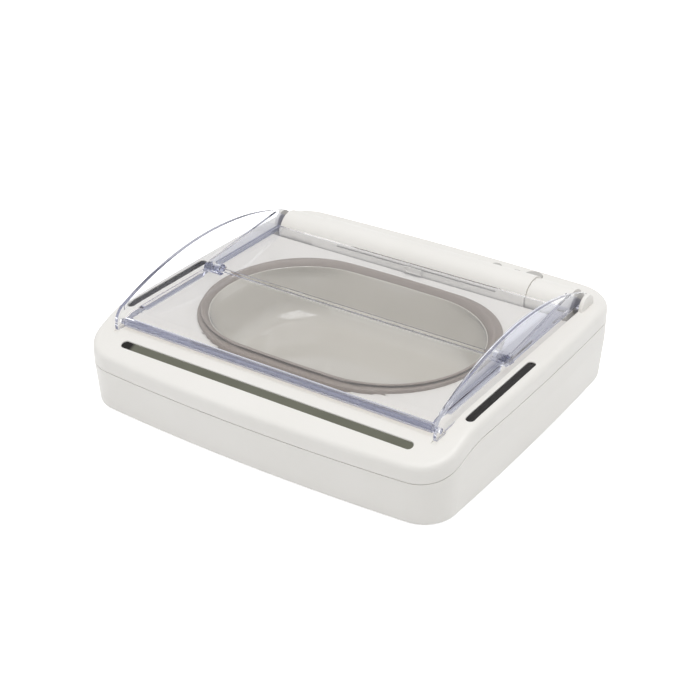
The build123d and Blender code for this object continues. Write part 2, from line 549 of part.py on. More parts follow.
def finish_lower(shell):
    """Hollow the bottom half and give it the foot, battery bays, bosses and openings."""
    foot = drawn_in(housing_plan(), SHOULDER_Z, BASE_Z, FOOT_INSET)
    shell += fillet(foot.faces().sort_by(Axis.Z)[0].edges(), FOOT_EDGE_R)
    hollow = drawn_in(housing_plan(WALL), SHOULDER_Z, FLOOR_Z, FOOT_INSET)
    hollow = fillet(hollow.faces().sort_by(Axis.Z)[0].edges(), FOOT_EDGE_R)
    hollow += prism(housing_plan(WALL), SHOULDER_Z, DECK_Z)
    inside = hollow
    rebate = prism(housing_plan(WALL - 1.1), 0, DECK_Z) - under_land(SEAM_DROP + SEAM_GAP + 2.0)

    bay = box(BAY_INNER_X[0], BAY_OUTER_X[1], BAY_FRONT_Y[0], BAY_REAR_Y[1], BASE_Z, BAY_WALL_TOP_Z)
    bay -= box(BAY_INNER_X[1], BAY_OUTER_X[0], BAY_FRONT_Y[1], BAY_REAR_Y[0], 0, FAR)
    for quarter in (1, 3, 5, 7):
        x0 = CELL_INNER_X + quarter * CELL_LENGTH / 4 - RIB_THICKNESS / 2
        rib = box(x0, x0 + RIB_THICKNESS, BAY_FRONT_Y[0], BAY_REAR_Y[1], CELL_Z, BAY_TOP_Z)
        bay += rib - cylinder_x(CELL_R + CELL_CLEARANCE, 0, FAR, (CELL_Y, CELL_Z))
    for x0, x1 in ((DOOR_INNER_X - DOOR_GAP - 2.0, DOOR_INNER_X - DOOR_GAP),
                   (DOOR_OUTER_X + DOOR_GAP, DOOR_OUTER_X + DOOR_GAP + 2.0)):
        bay += box(x0, x1, DOOR_HINGE_Y - 2.4, DOOR_HINGE_Y + 2.4, BASE_Z, DOOR_HINGE[1] + 2.2)
    inner = both_sides(bay)
    for x, y in SCREW_SPOTS:
        inner += cylinder_z(LOWER_BOSS_R, BASE_Z, BOSS_SPLIT_Z, x, y)
    shell = shell - hollow - rebate + (inner & inside)

    opening = box(DOOR_INNER_X - DOOR_GAP, DOOR_OUTER_X + DOOR_GAP, *DOOR_OPENING_Y, 0, FLOOR_Z + 0.01)
    trunnions = cylinder_x(TRUNNION_R + RUNNING_CLEARANCE, DOOR_INNER_X - DOOR_GAP - 1.6,
                           DOOR_OUTER_X + DOOR_GAP + 1.6, DOOR_HINGE)
    shell -= both_sides(opening + trunnions)
    for x, y in SCREW_SPOTS:
        shell -= cylinder_z(SCREW_R + 0.15, 0, FAR / 2, x, y)
        shell -= cylinder_z(BOSS_SEAT_R, 0, BOSS_SEAT_Z, x, y)
    for x, y in FOOT_SPOTS:
        shell -= cylinder_z(FOOT_R, 0, BASE_Z + FOOT_RECESS, x, y)
    return shell


def make_door(side):
    """Battery door: flush plate with a hinge barrel, two trunnions and a latch tongue."""
    top = BASE_Z + DOOR_THICKNESS
    door = box(DOOR_INNER_X, DOOR_OUTER_X, DOOR_HINGE_Y, DOOR_REAR_Y, BASE_Z, top)
    corners = door.edges().filter_by(Axis.Z).sort_by(Axis.Y)[2:]
    door = fillet(corners, 3.0)
    door += cylinder_x(DOOR_BARREL_R, DOOR_INNER_X, DOOR_OUTER_X, DOOR_HINGE)
    trunnion_reach = DOOR_GAP + 1.4
    door += cylinder_x(TRUNNION_R, DOOR_INNER_X - trunnion_reach, DOOR_OUTER_X + trunnion_reach, DOOR_HINGE)
    middle = (DOOR_INNER_X + DOOR_OUTER_X) / 2
    for offset in (-1, 0, 1):
        x = middle + offset * (DOOR_OUTER_X - DOOR_INNER_X) / 4
        door += box(x - 0.6, x + 0.6, DOOR_HINGE_Y, DOOR_REAR_Y - 2, BASE_Z, top + 0.6)
    door += box(middle - 6, middle + 6, DOOR_REAR_Y - 1.4, DOOR_REAR_Y - 0.2, BASE_Z, top + 3)
    door -= box(middle - 9, middle + 9, DOOR_REAR_Y - 6, DOOR_REAR_Y - 4, BASE_Z, BASE_Z + 0.6)
    return door if side > 0 else mirror(door, Plane.YZ)


# ---- Bowl ----
def tongue():
    """Ring round the bowl that holds the seal on."""
    middle_z = FIELD_Z + BOWL_SEAT_GAP + FLANGE_THICKNESS / 2
    return prism(bowl_plan(BODY_INSET - TONGUE[0]), middle_z - TONGUE[1] / 2, middle_z + TONGUE[1] / 2)


def make_bowl():
    """Lift-out bowl: drafted basin, a thin lip inside the seal, and the tongue that holds the seal."""
    body_top_z = FIELD_Z + BOWL_SEAT_GAP
    lip_z = BOWL_TOP_Z - SEAL_SLOPE + 0.1
    basin = drawn_in(bowl_plan(BODY_INSET), body_top_z, BOWL_BOTTOM_Z, BOWL_DRAFT)
    basin = fillet(basin.faces().sort_by(Axis.Z)[0].edges(), BOWL_FLOOR_R)
    basin += prism(bowl_plan(BODY_INSET), body_top_z, SEAL_BOTTOM_Z)
    basin += prism(bowl_plan(BOWL_RIM_WIDTH - BOWL_LIP), SEAL_BOTTOM_Z, lip_z)
    basin += tongue()
    basin -= prism(bowl_plan(BOWL_RIM_WIDTH), SEAL_BOTTOM_Z - 0.01, FAR)
    inside = drawn_in(bowl_plan(BOWL_RIM_WIDTH), SEAL_BOTTOM_Z, BOWL_BOTTOM_Z + BOWL_WALL, BOWL_DRAFT)
    return basin - fillet(inside.faces().sort_by(Axis.Z)[0].edges(), BOWL_FLOOR_R)


def make_seal():
    """Rubber seal round the bowl: skirt, neck and a lip whose top falls towards the mouth."""
    lip = prism(bowl_plan(), SEAL_BOTTOM_Z, BOWL_TOP_Z)
    lip = fillet(lip.faces().sort_by(Axis.Z)[-1].edges(), 0.6)
    slope = loft([Pos(0, 0, BOWL_TOP_Z) * bowl_plan(1.0),
                  Pos(0, 0, BOWL_TOP_Z - SEAL_SLOPE) * bowl_plan(BOWL_RIM_WIDTH)], ruled=True)
    lip -= slope + prism(bowl_plan(BOWL_RIM_WIDTH - BOWL_LIP), 0, FAR)
    skirt = prism(bowl_plan(-FLANGE_OVERHANG), FIELD_Z + BOWL_SEAT_GAP, FLANGE_TOP_Z)
    skirt = fillet(skirt.faces().sort_by(Axis.Z)[-1].edges(), 0.5)
    skirt += prism(bowl_plan(GROOVE_DEPTH), FLANGE_TOP_Z, SEAL_BOTTOM_Z)
    return lip + (skirt - prism(bowl_plan(BODY_INSET), 0, SEAL_BOTTOM_Z) - tongue())


# ---- Sensors ----
def make_window(name):
    """Dark window filling a slot just below the surface, with a flange under the skin."""
    face = slot_plan(SLOTS[name], SLOT_WIDTH - 2 * WINDOW_GAP)
    flange = slot_plan(SLOTS[name], SLOT_WIDTH + 2 * WINDOW_FLANGE)
    tall, wide = prism(face, 0, DECK_Z), prism(flange, 0, DECK_Z)
    return (land_band(tall, WINDOW_RECESS, WALL + 0.5)
            + land_band(wide, WALL + 0.02, WALL + WINDOW_FLANGE_THICKNESS))


def make_sensor_board(name):
    """Narrow board under a window with a row of emitters and receivers."""
    x0, y0, x1, y1 = SLOTS[name]
    reach = SENSOR_POST_REACH
    ends = (x0 - reach, y0, x1 + reach, y1) if name == "front" else (x0, y0 - reach, x1, y1 + reach)
    top = SENSOR_BOARD_TOP[name]
    board = prism(slot_plan(ends, SENSOR_BOARD_WIDTH), top - SENSOR_BOARD_THICKNESS, top)
    count = 8 if name == "front" else 4
    for i in range(count):
        along = (i + 0.5) / count
        x, y = x0 + (x1 - x0) * along, y0 + (y1 - y0) * along
        board += cylinder_z(1.5, top, top + 1.4, x, y)
    return board


# ---- Tube behind the bowl ----
def make_tube():
    """White tube round the drive shaft, open where the gears and the catch pass."""
    tube = cylinder_x(TUBE_R, -TUBE_HALF_LENGTH, TUBE_HALF_LENGTH, TUBE_AXIS)
    tube -= cylinder_x(TUBE_R - TUBE_WALL, -TUBE_HALF_LENGTH, TUBE_HALF_LENGTH, TUBE_AXIS)
    tube -= cylinder_x(IDLER_TIP_R + 0.8, BRACKET_FAR_X - 0.4,
                       BRACKET_MOTOR_X + BRACKET_THICKNESS + 0.4, IDLER_AXIS)
    for x in (-COVER_HALF_LENGTH - GROOVE[0], COVER_HALF_LENGTH):
        tube -= (cylinder_x(TUBE_R + 1, x, x + GROOVE[0], TUBE_AXIS)
                 - cylinder_x(TUBE_R - GROOVE[1], x, x + GROOVE[0], TUBE_AXIS))
    return tube - slit() - catch_holes()


def slit():
    """Long narrow slit in the front of the tube and its cover."""
    return box(-SLIT_HALF_LENGTH, SLIT_HALF_LENGTH, TUBE_Y - COVER_R - 1, TUBE_Y - TUBE_R / 2,
               SLIT_Z - SLIT_HEIGHT / 2, SLIT_Z + SLIT_HEIGHT / 2)


def catch_middle_z():
    """Height of the catch's stems."""
    return FIELD_Z + CATCH_BOTTOM_GAP + CATCH_HEIGHT / 2


def catch_holes():
    """Holes for the two stems of the catch."""
    z = catch_middle_z()
    half_width, half_height = CATCH_STEM_WIDTH / 2 + 0.3, CATCH_STEM_HEIGHT / 2 + 0.3
    return both_sides(box(CATCH_STEM_X - half_width, CATCH_STEM_X + half_width, TUBE_Y - COVER_R - 1,
                          TUBE_Y - TUBE_R / 2, z - half_height, z + half_height))


def make_cap():
    """Right-hand end cap: plug, disc and the eccentric stub that the rear lid panel turns on."""
    cap = cylinder_x(TUBE_R, TUBE_HALF_LENGTH, CAP_OUTER_X, TUBE_AXIS)
    cap += cylinder_x(TUBE_R - TUBE_WALL, TUBE_HALF_LENGTH - CAP_PLUG, TUBE_HALF_LENGTH, TUBE_AXIS)
    cap += cylinder_x(STUB_R, CAP_OUTER_X, ARM_INNER_X - BOSS_END_GAP, REAR_PIVOT)
    return cap - cylinder_x(BUSH_R, 0, FAR, TUBE_AXIS)


def make_bushes():
    """Plain bushes that carry the drive shaft in the end caps."""
    bush = cylinder_x(BUSH_R, TUBE_HALF_LENGTH - CAP_PLUG, CAP_OUTER_X, TUBE_AXIS)
    return both_sides(bush - cylinder_x(SHAFT_R + RUNNING_CLEARANCE, 0, FAR, TUBE_AXIS))


def make_cover():
    """Thin outer cover wrapped over the middle of the tube."""
    ring = Circle(COVER_R) - Circle(TUBE_R)
    wedge = Polygon((0, 0), point_at((0, 0), FAR, 180 - COVER_LIP_DEG), (-FAR, FAR), (FAR, FAR),
                    point_at((0, 0), FAR, COVER_REAR_DEG), align=None)
    cover = side_view(Pos(*TUBE_AXIS) * (ring & wedge), -COVER_HALF_LENGTH, COVER_HALF_LENGTH)
    return cover - slit() - catch_holes()


def make_catch():
    """Small press catch on the front of the tube: a plate on two barbed stems."""
    bottom, top = FIELD_Z + CATCH_BOTTOM_GAP, FIELD_Z + CATCH_BOTTOM_GAP + CATCH_HEIGHT
    back = TUBE_Y - COVER_R - CATCH_TRAVEL - 0.05
    plate = box(-CATCH_HALF_WIDTH, CATCH_HALF_WIDTH, back - CATCH_THICKNESS, back, bottom, top)
    plate = fillet(plate.faces().sort_by(Axis.Y)[0].edges(), 0.4)
    inset, depth = CATCH_RECESS
    plate -= box(-CATCH_HALF_WIDTH + inset, CATCH_HALF_WIDTH - inset, back - CATCH_THICKNESS,
                 back - CATCH_THICKNESS + depth, bottom + 0.9, FAR)
    z = catch_middle_z()
    x0, x1 = CATCH_STEM_X - CATCH_STEM_WIDTH / 2, CATCH_STEM_X + CATCH_STEM_WIDTH / 2
    barb_y = TUBE_Y - (TUBE_R - TUBE_WALL) + 0.5
    half = CATCH_STEM_HEIGHT / 2
    stem = box(x0, x1, back, barb_y + 1.1, z - half, z + half)
    stem += box(x0, x1, barb_y, barb_y + 1.1, z - half - 0.7, z + half + 0.7)
    return plate + both_sides(stem)


# ---- Lid ----
def make_arm():
    """Right-hand crescent arm: hub, arched edge with an inward flange, and a small front foot."""
    bottom = FIELD_Z + ARM_BOTTOM_GAP

    def window(y0, y1, z0):
        return Pos((y0 + y1) / 2, (z0 + FAR) / 2) * Rectangle(y1 - y0, FAR - z0)

    blade = (Pos(*ARCH_CENTRE) * Circle(ARCH_R)) & window(ARM_FRONT_Y, ARM_END_Y, bottom)
    nose = blade.vertices().sort_by(Axis.X)[:2].sort_by(Axis.Y)[-1]
    blade = fillet(nose, ARM_NOSE_R)
    blade += Pos((ARM_FOOT_Y[0] + ARM_FOOT_Y[1]) / 2, (ARM_FOOT_Z + bottom + 1) / 2) * RectangleRounded(
        ARM_FOOT_Y[1] - ARM_FOOT_Y[0], bottom + 1 - ARM_FOOT_Z, 0.9)
    blade += hull_of((ARM_HUB, ARM_HUB_R), (TUBE_AXIS, ARM_GRIP_R))
    arm = side_view(blade, ARM_INNER_X, ARM_OUTER_X)
    rim = Pos(*ARCH_CENTRE) * (Circle(ARCH_R) - Circle(ARCH_R - RIM_THICKNESS))
    rim &= window(ARM_FRONT_Y + 6, TUBE_Y - RIM_END_INSET, bottom)
    arm += side_view(rim & blade, ARM_OUTER_X - RIM_WIDTH, ARM_OUTER_X)
    arm -= cylinder_x(PIN_R + RUNNING_CLEARANCE, ARM_INNER_X - 1, ARM_OUTER_X + 1, FRONT_PIVOT)
    return arm - side_view(shaft_end_outline(), ARM_INNER_X - 1, ARM_OUTER_X + 1)


def shaft_end_outline():
    """Round bar with two flats, seen from the side."""
    return Pos(*TUBE_AXIS) * (Circle(SHAFT_R) & Rectangle(4 * SHAFT_R, 2 * SHAFT_FLAT))


def make_shaft():
    """Drive shaft from arm to arm, flatted where the arms grip it."""
    journal = ARM_INNER_X - BOSS_END_GAP / 2
    shaft = cylinder_x(SHAFT_R, -journal, journal, TUBE_AXIS)
    return shaft + side_view(shaft_end_outline(), -ARM_OUTER_X, ARM_OUTER_X)


def make_front_panel():
    """Front lid panel: plate, curved lip with the rod's barrel, side rails and knuckles."""
    half = PANEL_HALF_WIDTH - PANEL_SIDE_GAP
    top, low = PANEL_TOP_Z, PANEL_BOTTOM_Z
    y, (rod_y, rod_z) = PANEL_FRONT_Y, FRONT_PIVOT
    lip = make_face(Wire([
        Line((PLATE_FRONT_END_Y, low), (PLATE_FRONT_END_Y, top)).edge(),
        Line((PLATE_FRONT_END_Y, top), (y, top)).edge(),
        Bezier((y, top), (y - 5.6, top), (rod_y - 2.0, rod_z + 3.6), (rod_y - 2.0, rod_z)).edge(),
        Line((rod_y - 2.0, rod_z), (rod_y, rod_z)).edge(),
        Bezier((rod_y, rod_z), (rod_y + 0.2, rod_z + 2.4), (y - 3.4, low), (y, low)).edge(),
        Line((y, low), (PLATE_FRONT_END_Y, low)).edge(),
    ]))
    panel = side_view(lip + Pos(*FRONT_PIVOT) * Circle(ROD_R), -half, half)
    rail_y0, rail_y1 = y + RAIL_END_MARGIN / 2, PLATE_FRONT_END_Y - RAIL_END_MARGIN / 2
    rail_z = low - RAIL_HEIGHT + 0.8
    outline = hull_of(((rail_y0 + 4, rail_z), 0.8), ((rail_y1 - 1.5, rail_z), 0.8),
                      ((rail_y1, low + 0.4), 0.4), ((rail_y0, low + 0.4), 0.4))
    rail = side_view(outline, half - RAIL_WIDTH, half)
    panel += both_sides(rail)
    clear_of_rear = cylinder_x(KNUCKLE_R + 0.5, REAR_KNUCKLE_X[0] - 0.3, FAR, MID_PIVOT)
    panel -= both_sides(clear_of_rear)
    panel += both_sides(cylinder_x(KNUCKLE_R, *FRONT_KNUCKLE_X, MID_PIVOT))
    panel -= both_sides(cylinder_x(MID_ROD_R + OPEN_PIVOT_CLEARANCE, FRONT_KNUCKLE_X[0] - 1,
                                   FRONT_KNUCKLE_X[1] + 1, MID_PIVOT))
    return panel - cylinder_x(PIN_R, -FAR, FAR, FRONT_PIVOT)


def make_rear_panel():
    """Rear lid panel: plate, side webs that hook over the shaft to their stubs, and knuckles."""
    plate = box(-PANEL_HALF_WIDTH, PANEL_HALF_WIDTH, PLATE_REAR_START_Y, REAR_PANEL_END_Y,
                PANEL_BOTTOM_Z, PANEL_TOP_Z)
    clear_of_front = cylinder_x(KNUCKLE_R + 0.5, FRONT_KNUCKLE_X[0] - 0.4, FRONT_KNUCKLE_X[1] + 0.3, MID_PIVOT)
    plate -= both_sides(clear_of_front)
    outline = hull_of((MID_PIVOT, 2.5), (WEB_SHOULDER, WEB_SHOULDER_R), (REAR_PIVOT, WEB_HUB_R))
    below_y = (MID_PIVOT[0] + 4, TUBE_Y)
    outline -= Pos(sum(below_y) / 2, PANEL_BOTTOM_Z - 11) * Rectangle(below_y[1] - below_y[0], 20)
    outline -= shaft_sweep()
    web = side_view(outline, WEB_INNER_X, WEB_OUTER_X)
    web -= cylinder_x(STUB_R + RUNNING_CLEARANCE, 0, FAR, REAR_PIVOT)
    web += cylinder_x(KNUCKLE_R, *REAR_KNUCKLE_X, MID_PIVOT)
    panel = plate + both_sides(web)
    return panel - cylinder_x(MID_ROD_R, -FAR, FAR, MID_PIVOT)


def shaft_sweep():
    """Where the shaft passes the rear panel's web while the panel turns up."""
    reach = math.hypot(*REAR_PIVOT_OFFSET)
    rest_deg = 180 + math.degrees(math.atan2(REAR_PIVOT_OFFSET[1], REAR_PIVOT_OFFSET[0]))
    wedge = Polygon((0, 0), point_at((0, 0), FAR, rest_deg), (-FAR, -FAR),
                    point_at((0, 0), FAR, rest_deg + WEB_SWING_DEG), align=None)
    room = SHAFT_R + SHAFT_ROOM
    sweep = Pos(*REAR_PIVOT) * ((Circle(reach + room) & wedge) - Circle(WEB_HUB_R))
    return sweep + (Pos(*TUBE_AXIS) * Circle(room) - Pos(*REAR_PIVOT) * Circle(WEB_HUB_R))


def make_mid_rod():
    """Long rod whose two ends are the mid hinge's pins, fixed in the rear panel's knuckles."""
    return cylinder_x(MID_ROD_R, -WEB_OUTER_X, WEB_OUTER_X, MID_PIVOT)


# ---- Drive train ----
def gear_outline(teeth, clocking_deg):
    """Involute gear face about the origin with a tooth centred on the clocking angle."""
    pitch_r = GEAR_MODULE * teeth / 2
    base_r = pitch_r * math.cos(math.radians(PRESSURE_DEG))
    tip_r, root_r = pitch_r + ADDENDUM * GEAR_MODULE, pitch_r - DEDENDUM * GEAR_MODULE

    def involute(radius):
        ratio = max(radius / base_r, 1.0)
        angle = math.acos(1 / ratio)
        return math.tan(angle) - angle

    half_tooth = (math.pi * GEAR_MODULE / 2 - BACKLASH) / 2 / pitch_r + involute(pitch_r)
    radii = [root_r] + [max(base_r, root_r) + (tip_r - max(base_r, root_r)) * k / 3 for k in range(4)]
    flank = [(radius, half_tooth - involute(radius)) for radius in radii]
    points = []
    for tooth in range(teeth):
        middle = math.radians(clocking_deg) + 2 * math.pi * tooth / teeth
        for radius, half in flank:
            points.append((radius * math.cos(middle - half), radius * math.sin(middle - half)))
        for radius, half in reversed(flank):
            points.append((radius * math.cos(middle + half), radius * math.sin(middle + half)))
    return Polygon(*points, align=None)


def gear(teeth, clocking_deg, x_range, centre):
    """Gear between two X planes about a side-view point."""
    return side_view(Pos(*centre) * gear_outline(teeth, clocking_deg), *x_range)


def make_shaft_gear():
    """Gear pressed on the drive shaft."""
    wheel = gear(SHAFT_TEETH, IDLER_ANGLE_DEG, FIRST_MESH_X, TUBE_AXIS)
    return wheel - cylinder_x(SHAFT_R, *FIRST_MESH_X, TUBE_AXIS)


def make_idler():
    """Double gear between the motor and the shaft."""
    clocking = IDLER_ANGLE_DEG + 180 + 180 / IDLER_PINION_TEETH
    pinion = gear(IDLER_PINION_TEETH, clocking, FIRST_MESH_X, IDLER_AXIS)
    wheel = gear(IDLER_WHEEL_TEETH, MOTOR_ANGLE_DEG, SECOND_MESH_X, IDLER_AXIS)
    hub = cylinder_x(AXLE_R + 1.2, FIRST_MESH_X[0], SECOND_MESH_X[1], IDLER_AXIS)
    return pinion + wheel + hub - cylinder_x(AXLE_R + RUNNING_CLEARANCE, -FAR, FAR, IDLER_AXIS)


def make_motor_pinion():
    """Pinion with the motor's output shaft."""
    pinion = gear(MOTOR_TEETH, MOTOR_ANGLE_DEG + 180 + 180 / MOTOR_TEETH, SECOND_MESH_X, MOTOR_AXIS)
    shaft_end = BRACKET_MOTOR_X + BRACKET_THICKNESS + 3
    return pinion + cylinder_x(MOTOR_SHAFT_R, SECOND_MESH_X[0], shaft_end, MOTOR_AXIS)


def make_bracket():
    """Moulded bracket: two cheeks round the gears, joined by a bridge under the deck."""
    (y0, y1), (z0, z1) = BRIDGE_Y, BRIDGE_Z
    near = side_view(hull_of((IDLER_AXIS, 3.0), (MOTOR_AXIS, MOTOR_R), ((y1 - 1, z1 - 1), 1.0),
                             ((y0 + 1, z1 - 1), 1.0)), BRACKET_MOTOR_X, BRACKET_MOTOR_X + BRACKET_THICKNESS)
    far = side_view(hull_of((IDLER_AXIS, 3.0), ((y0 + 4, z1 - 1), 1.0), ((y0 + 1, z1 - 1), 1.0)),
                    BRACKET_FAR_X, BRACKET_FAR_X + BRACKET_THICKNESS)
    bridge = box(BRACKET_FAR_X, BRACKET_MOTOR_X + BRACKET_THICKNESS, y0, y1, z0, z1)
    cheeks = bridge + near + far
    cheeks -= cylinder_x(AXLE_R, -FAR, FAR, IDLER_AXIS)
    return cheeks - cylinder_x(MOTOR_SHAFT_R + 0.4, -FAR, FAR, MOTOR_AXIS)


def make_motor():
    """Geared motor with its two rear terminals."""
    x0 = BRACKET_MOTOR_X + BRACKET_THICKNESS
    motor = cylinder_x(MOTOR_R, x0, x0 + MOTOR_LENGTH, MOTOR_AXIS)
    core = cylinder_x(MOTOR_R - 0.5, x0, FAR, MOTOR_AXIS)
    motor -= cylinder_x(MOTOR_R, x0 + 11, x0 + 11.6, MOTOR_AXIS) - core
    end = x0 + MOTOR_LENGTH
    motor += cylinder_x(2.0, end, end + 1.0, MOTOR_AXIS)
    y, z = MOTOR_AXIS
    for terminal_y in (y - 3.6, y + 3.6):
        motor += box(end, end + 2.4, terminal_y - 0.9, terminal_y + 0.9, z - 0.2, z + 0.2)
    return motor - cylinder_x(MOTOR_SHAFT_R + RUNNING_CLEARANCE, 0, x0 + 3.2, MOTOR_AXIS)


# ---- Controls ----
def make_button(name):
    """Round button with a retaining flange under the deck and a stem down to its switch."""
    x, radius = BUTTONS[name]
    top = DECK_Z + BUTTON_STANDOUT
    button = cylinder_z(radius, BUTTON_FLANGE_TOP_Z - 0.8, top, x, CONTROL_Y)
    button = fillet(button.faces().sort_by(Axis.Z)[-1].edges(), 0.4)
    flange_z = BUTTON_FLANGE_TOP_Z - 0.8
    button += cylinder_z(radius + BUTTON_FLANGE, flange_z, BUTTON_FLANGE_TOP_Z, x, CONTROL_Y)
    return button + cylinder_z(radius * 0.4, BUTTON_BOTTOM_Z, flange_z, x, CONTROL_Y)


def make_dome(name):
    """Silicone return dome between the board and the button's stem."""
    x, radius = BUTTONS[name]
    height = BUTTON_BOTTOM_Z - BOARD_TOP_Z
    foot_r, crown_r, skin = radius * 0.8, radius * 0.5, 0.4
    outer = Pos(x, CONTROL_Y, BOARD_TOP_Z + height / 2) * Cone(foot_r, crown_r, height)
    inner = Pos(x, CONTROL_Y, BOARD_TOP_Z + height / 2 - 0.3) * Cone(foot_r - skin, crown_r - skin, height)
    return outer - inner


def make_board():
    """Main board under the rear deck, with its chips underneath."""
    board = box(*BOARD_X, *BOARD_Y, BOARD_TOP_Z - BOARD_THICKNESS, BOARD_TOP_Z)
    for x, y in SCREW_SPOTS:
        board -= cylinder_z(BOSS_R + 0.4, 0, FAR, x, y)
    for x, width in ((22.0, 7.0), (32.0, 5.0), (64.0, 4.0)):
        board += box(x - width / 2, x + width / 2, CONTROL_Y - 3, CONTROL_Y + 3,
                     BOARD_TOP_Z - BOARD_THICKNESS - 1.0, BOARD_TOP_Z - BOARD_THICKNESS)
    return board


def make_switches():
    """Tact switch under each button."""
    size = 1.0
    return [box(x - size, x + size, CONTROL_Y - size, CONTROL_Y + size, BOARD_TOP_Z, SWITCH_TOP_Z)
            for x, _ in BUTTONS.values()]


# ---- Batteries, feet and screws ----
def make_cells():
    """Two pairs of C cells end to end."""
    cells = []
    for start in (CELL_INNER_X, CELL_INNER_X + CELL_LENGTH):
        cell = cylinder_x(CELL_R, start, start + CELL_LENGTH - 1.5, (CELL_Y, CELL_Z))
        nipple = cylinder_x(3.2, start + CELL_LENGTH - 1.6, start + CELL_LENGTH, (CELL_Y, CELL_Z))
        cells.append(fillet(cell.edges(), 0.8) + nipple)
    return both_sides(cells[0] + cells[1])


def make_contacts():
    """Sheet-metal contacts at both ends of each battery bay."""
    plates = box(BAY_INNER_X[1], CELL_INNER_X, CELL_Y - 6, CELL_Y + 6, CELL_Z - 7, CELL_Z + 7)
    plates += box(CELL_OUTER_X, BAY_OUTER_X[0], CELL_Y - 6, CELL_Y + 6, CELL_Z - 7, CELL_Z + 7)
    return both_sides(plates)


def make_feet():
    """Rubber feet set in shallow recesses."""
    foot = cylinder_z(FOOT_R, 0, BASE_Z + FOOT_RECESS, 0, 0)
    foot = fillet(foot.faces().sort_by(Axis.Z)[0].edges(), 0.5)
    return [Pos(x, y) * foot for x, y in FOOT_SPOTS]


def make_screws():
    """Case screws driven from below."""
    return [cylinder_z(SCREW_R, BOSS_SEAT_Z - 0.5, SCREW_TIP_Z, x, y)
            + cylinder_z(SCREW_HEAD_R, BOSS_SEAT_Z - 2.0, BOSS_SEAT_Z, x, y) for x, y in SCREW_SPOTS]


upper_shell, lower_shell = make_shells()
export("upper_shell", upper_shell)
export("lower_shell", lower_shell)
export("bowl", make_bowl())
export("bowl_seal", make_seal())
for slot_name in SLOTS:
    export(f"{slot_name}_sensor_window", make_window(slot_name))
    export(f"{slot_name}_sensor_board", make_sensor_board(slot_name))
export("drive_tube", make_tube())
export("right_end_cap", make_cap())
export("left_end_cap", mirror(make_cap(), Plane.YZ))
export("shaft_bushes", make_bushes())
export("tube_cover", make_cover())
export("lid_catch", make_catch())
export("right_lid_arm", make_arm())
export("left_lid_arm", mirror(make_arm(), Plane.YZ))
export("drive_shaft", make_shaft())
export("front_lid_panel", make_front_panel())
export("front_rod", cylinder_x(PIN_R, -ARM_OUTER_X, ARM_OUTER_X, FRONT_PIVOT))
export("rear_lid_panel", make_rear_panel())
export("mid_hinge_pins", make_mid_rod())
export("shaft_gear", make_shaft_gear())
export("idler_gear", make_idler())
export("idler_axle", cylinder_x(AXLE_R, BRACKET_FAR_X, BRACKET_MOTOR_X + BRACKET_THICKNESS, IDLER_AXIS))
export("motor_pinion", make_motor_pinion())
export("motor_bracket", make_bracket())
export("gear_motor", make_motor())
for button_name in BUTTONS:
    export(f"{button_name}_button", make_button(button_name))
    export(f"{button_name}_button_dome", make_dome(button_name))
export("control_board", make_board())
export("button_switches", Compound(make_switches()))
export("status_light", cylinder_z(LIGHT_R, BOARD_TOP_Z, DECK_Z, LIGHT_X, CONTROL_Y))
export("battery_cells", make_cells())
export("battery_contacts", make_contacts())
export("left_battery_door", make_door(-1))
export("right_battery_door", make_door(1))
export("rubber_feet", Compound(make_feet()))
export("case_screws", Compound(make_screws()))
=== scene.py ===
"""Sealed pet feeder: finishes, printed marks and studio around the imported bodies.

Lengths in the classes are millimetres in the part's own frame, turned into metres
where meshes are made. Colours are written as 0 to 255 screen values.
"""

from __future__ import annotations

import json
import logging
import math
from dataclasses import dataclass, field
from enum import Enum
from typing import Any

import bmesh
import bpy
from mathutils import Matrix, Vector

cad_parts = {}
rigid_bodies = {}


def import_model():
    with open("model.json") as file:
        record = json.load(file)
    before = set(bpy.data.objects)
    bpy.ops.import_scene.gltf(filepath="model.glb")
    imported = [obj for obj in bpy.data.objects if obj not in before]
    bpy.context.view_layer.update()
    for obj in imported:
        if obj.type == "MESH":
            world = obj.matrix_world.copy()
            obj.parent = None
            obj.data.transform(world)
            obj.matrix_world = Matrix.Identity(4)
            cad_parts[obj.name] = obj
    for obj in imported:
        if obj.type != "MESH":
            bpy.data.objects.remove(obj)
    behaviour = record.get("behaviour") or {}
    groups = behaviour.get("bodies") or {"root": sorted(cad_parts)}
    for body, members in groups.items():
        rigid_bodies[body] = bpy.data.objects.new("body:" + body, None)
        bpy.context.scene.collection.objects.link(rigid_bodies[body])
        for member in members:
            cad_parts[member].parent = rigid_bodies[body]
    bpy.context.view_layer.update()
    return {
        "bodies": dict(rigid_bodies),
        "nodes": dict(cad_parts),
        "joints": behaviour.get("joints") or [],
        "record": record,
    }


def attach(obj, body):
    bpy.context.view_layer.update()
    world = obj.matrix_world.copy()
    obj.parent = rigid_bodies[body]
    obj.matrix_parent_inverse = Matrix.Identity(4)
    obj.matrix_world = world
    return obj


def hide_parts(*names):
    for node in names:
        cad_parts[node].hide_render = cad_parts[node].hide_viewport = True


LOG = logging.getLogger("feeder")
MM = 0.001
WHITE = (1.0, 1.0, 1.0, 1.0)

Colour = tuple[float, float, float]
Point2 = tuple[float, float]
Point3 = tuple[float, float, float]
Ring = list[Vector]


class Body(str, Enum):
    """Body that the added pieces ride on."""

    HOUSING = "housing"


def linear(colour: Colour, alpha: float = 1.0) -> tuple[float, float, float, float]:
    """Turn a 0 to 255 screen colour into linear light.

    Args:
        colour: Screen colour, 0 to 255 in each channel.
        alpha: Opacity to append.

    Returns:
        Red, green, blue and alpha as the shader nodes take them.
    """
    def channel(value: float) -> float:
        share = value / 255
        return share / 12.92 if share <= 0.04045 else ((share + 0.055) / 1.055) ** 2.4

    return (*(channel(value) for value in colour), alpha)


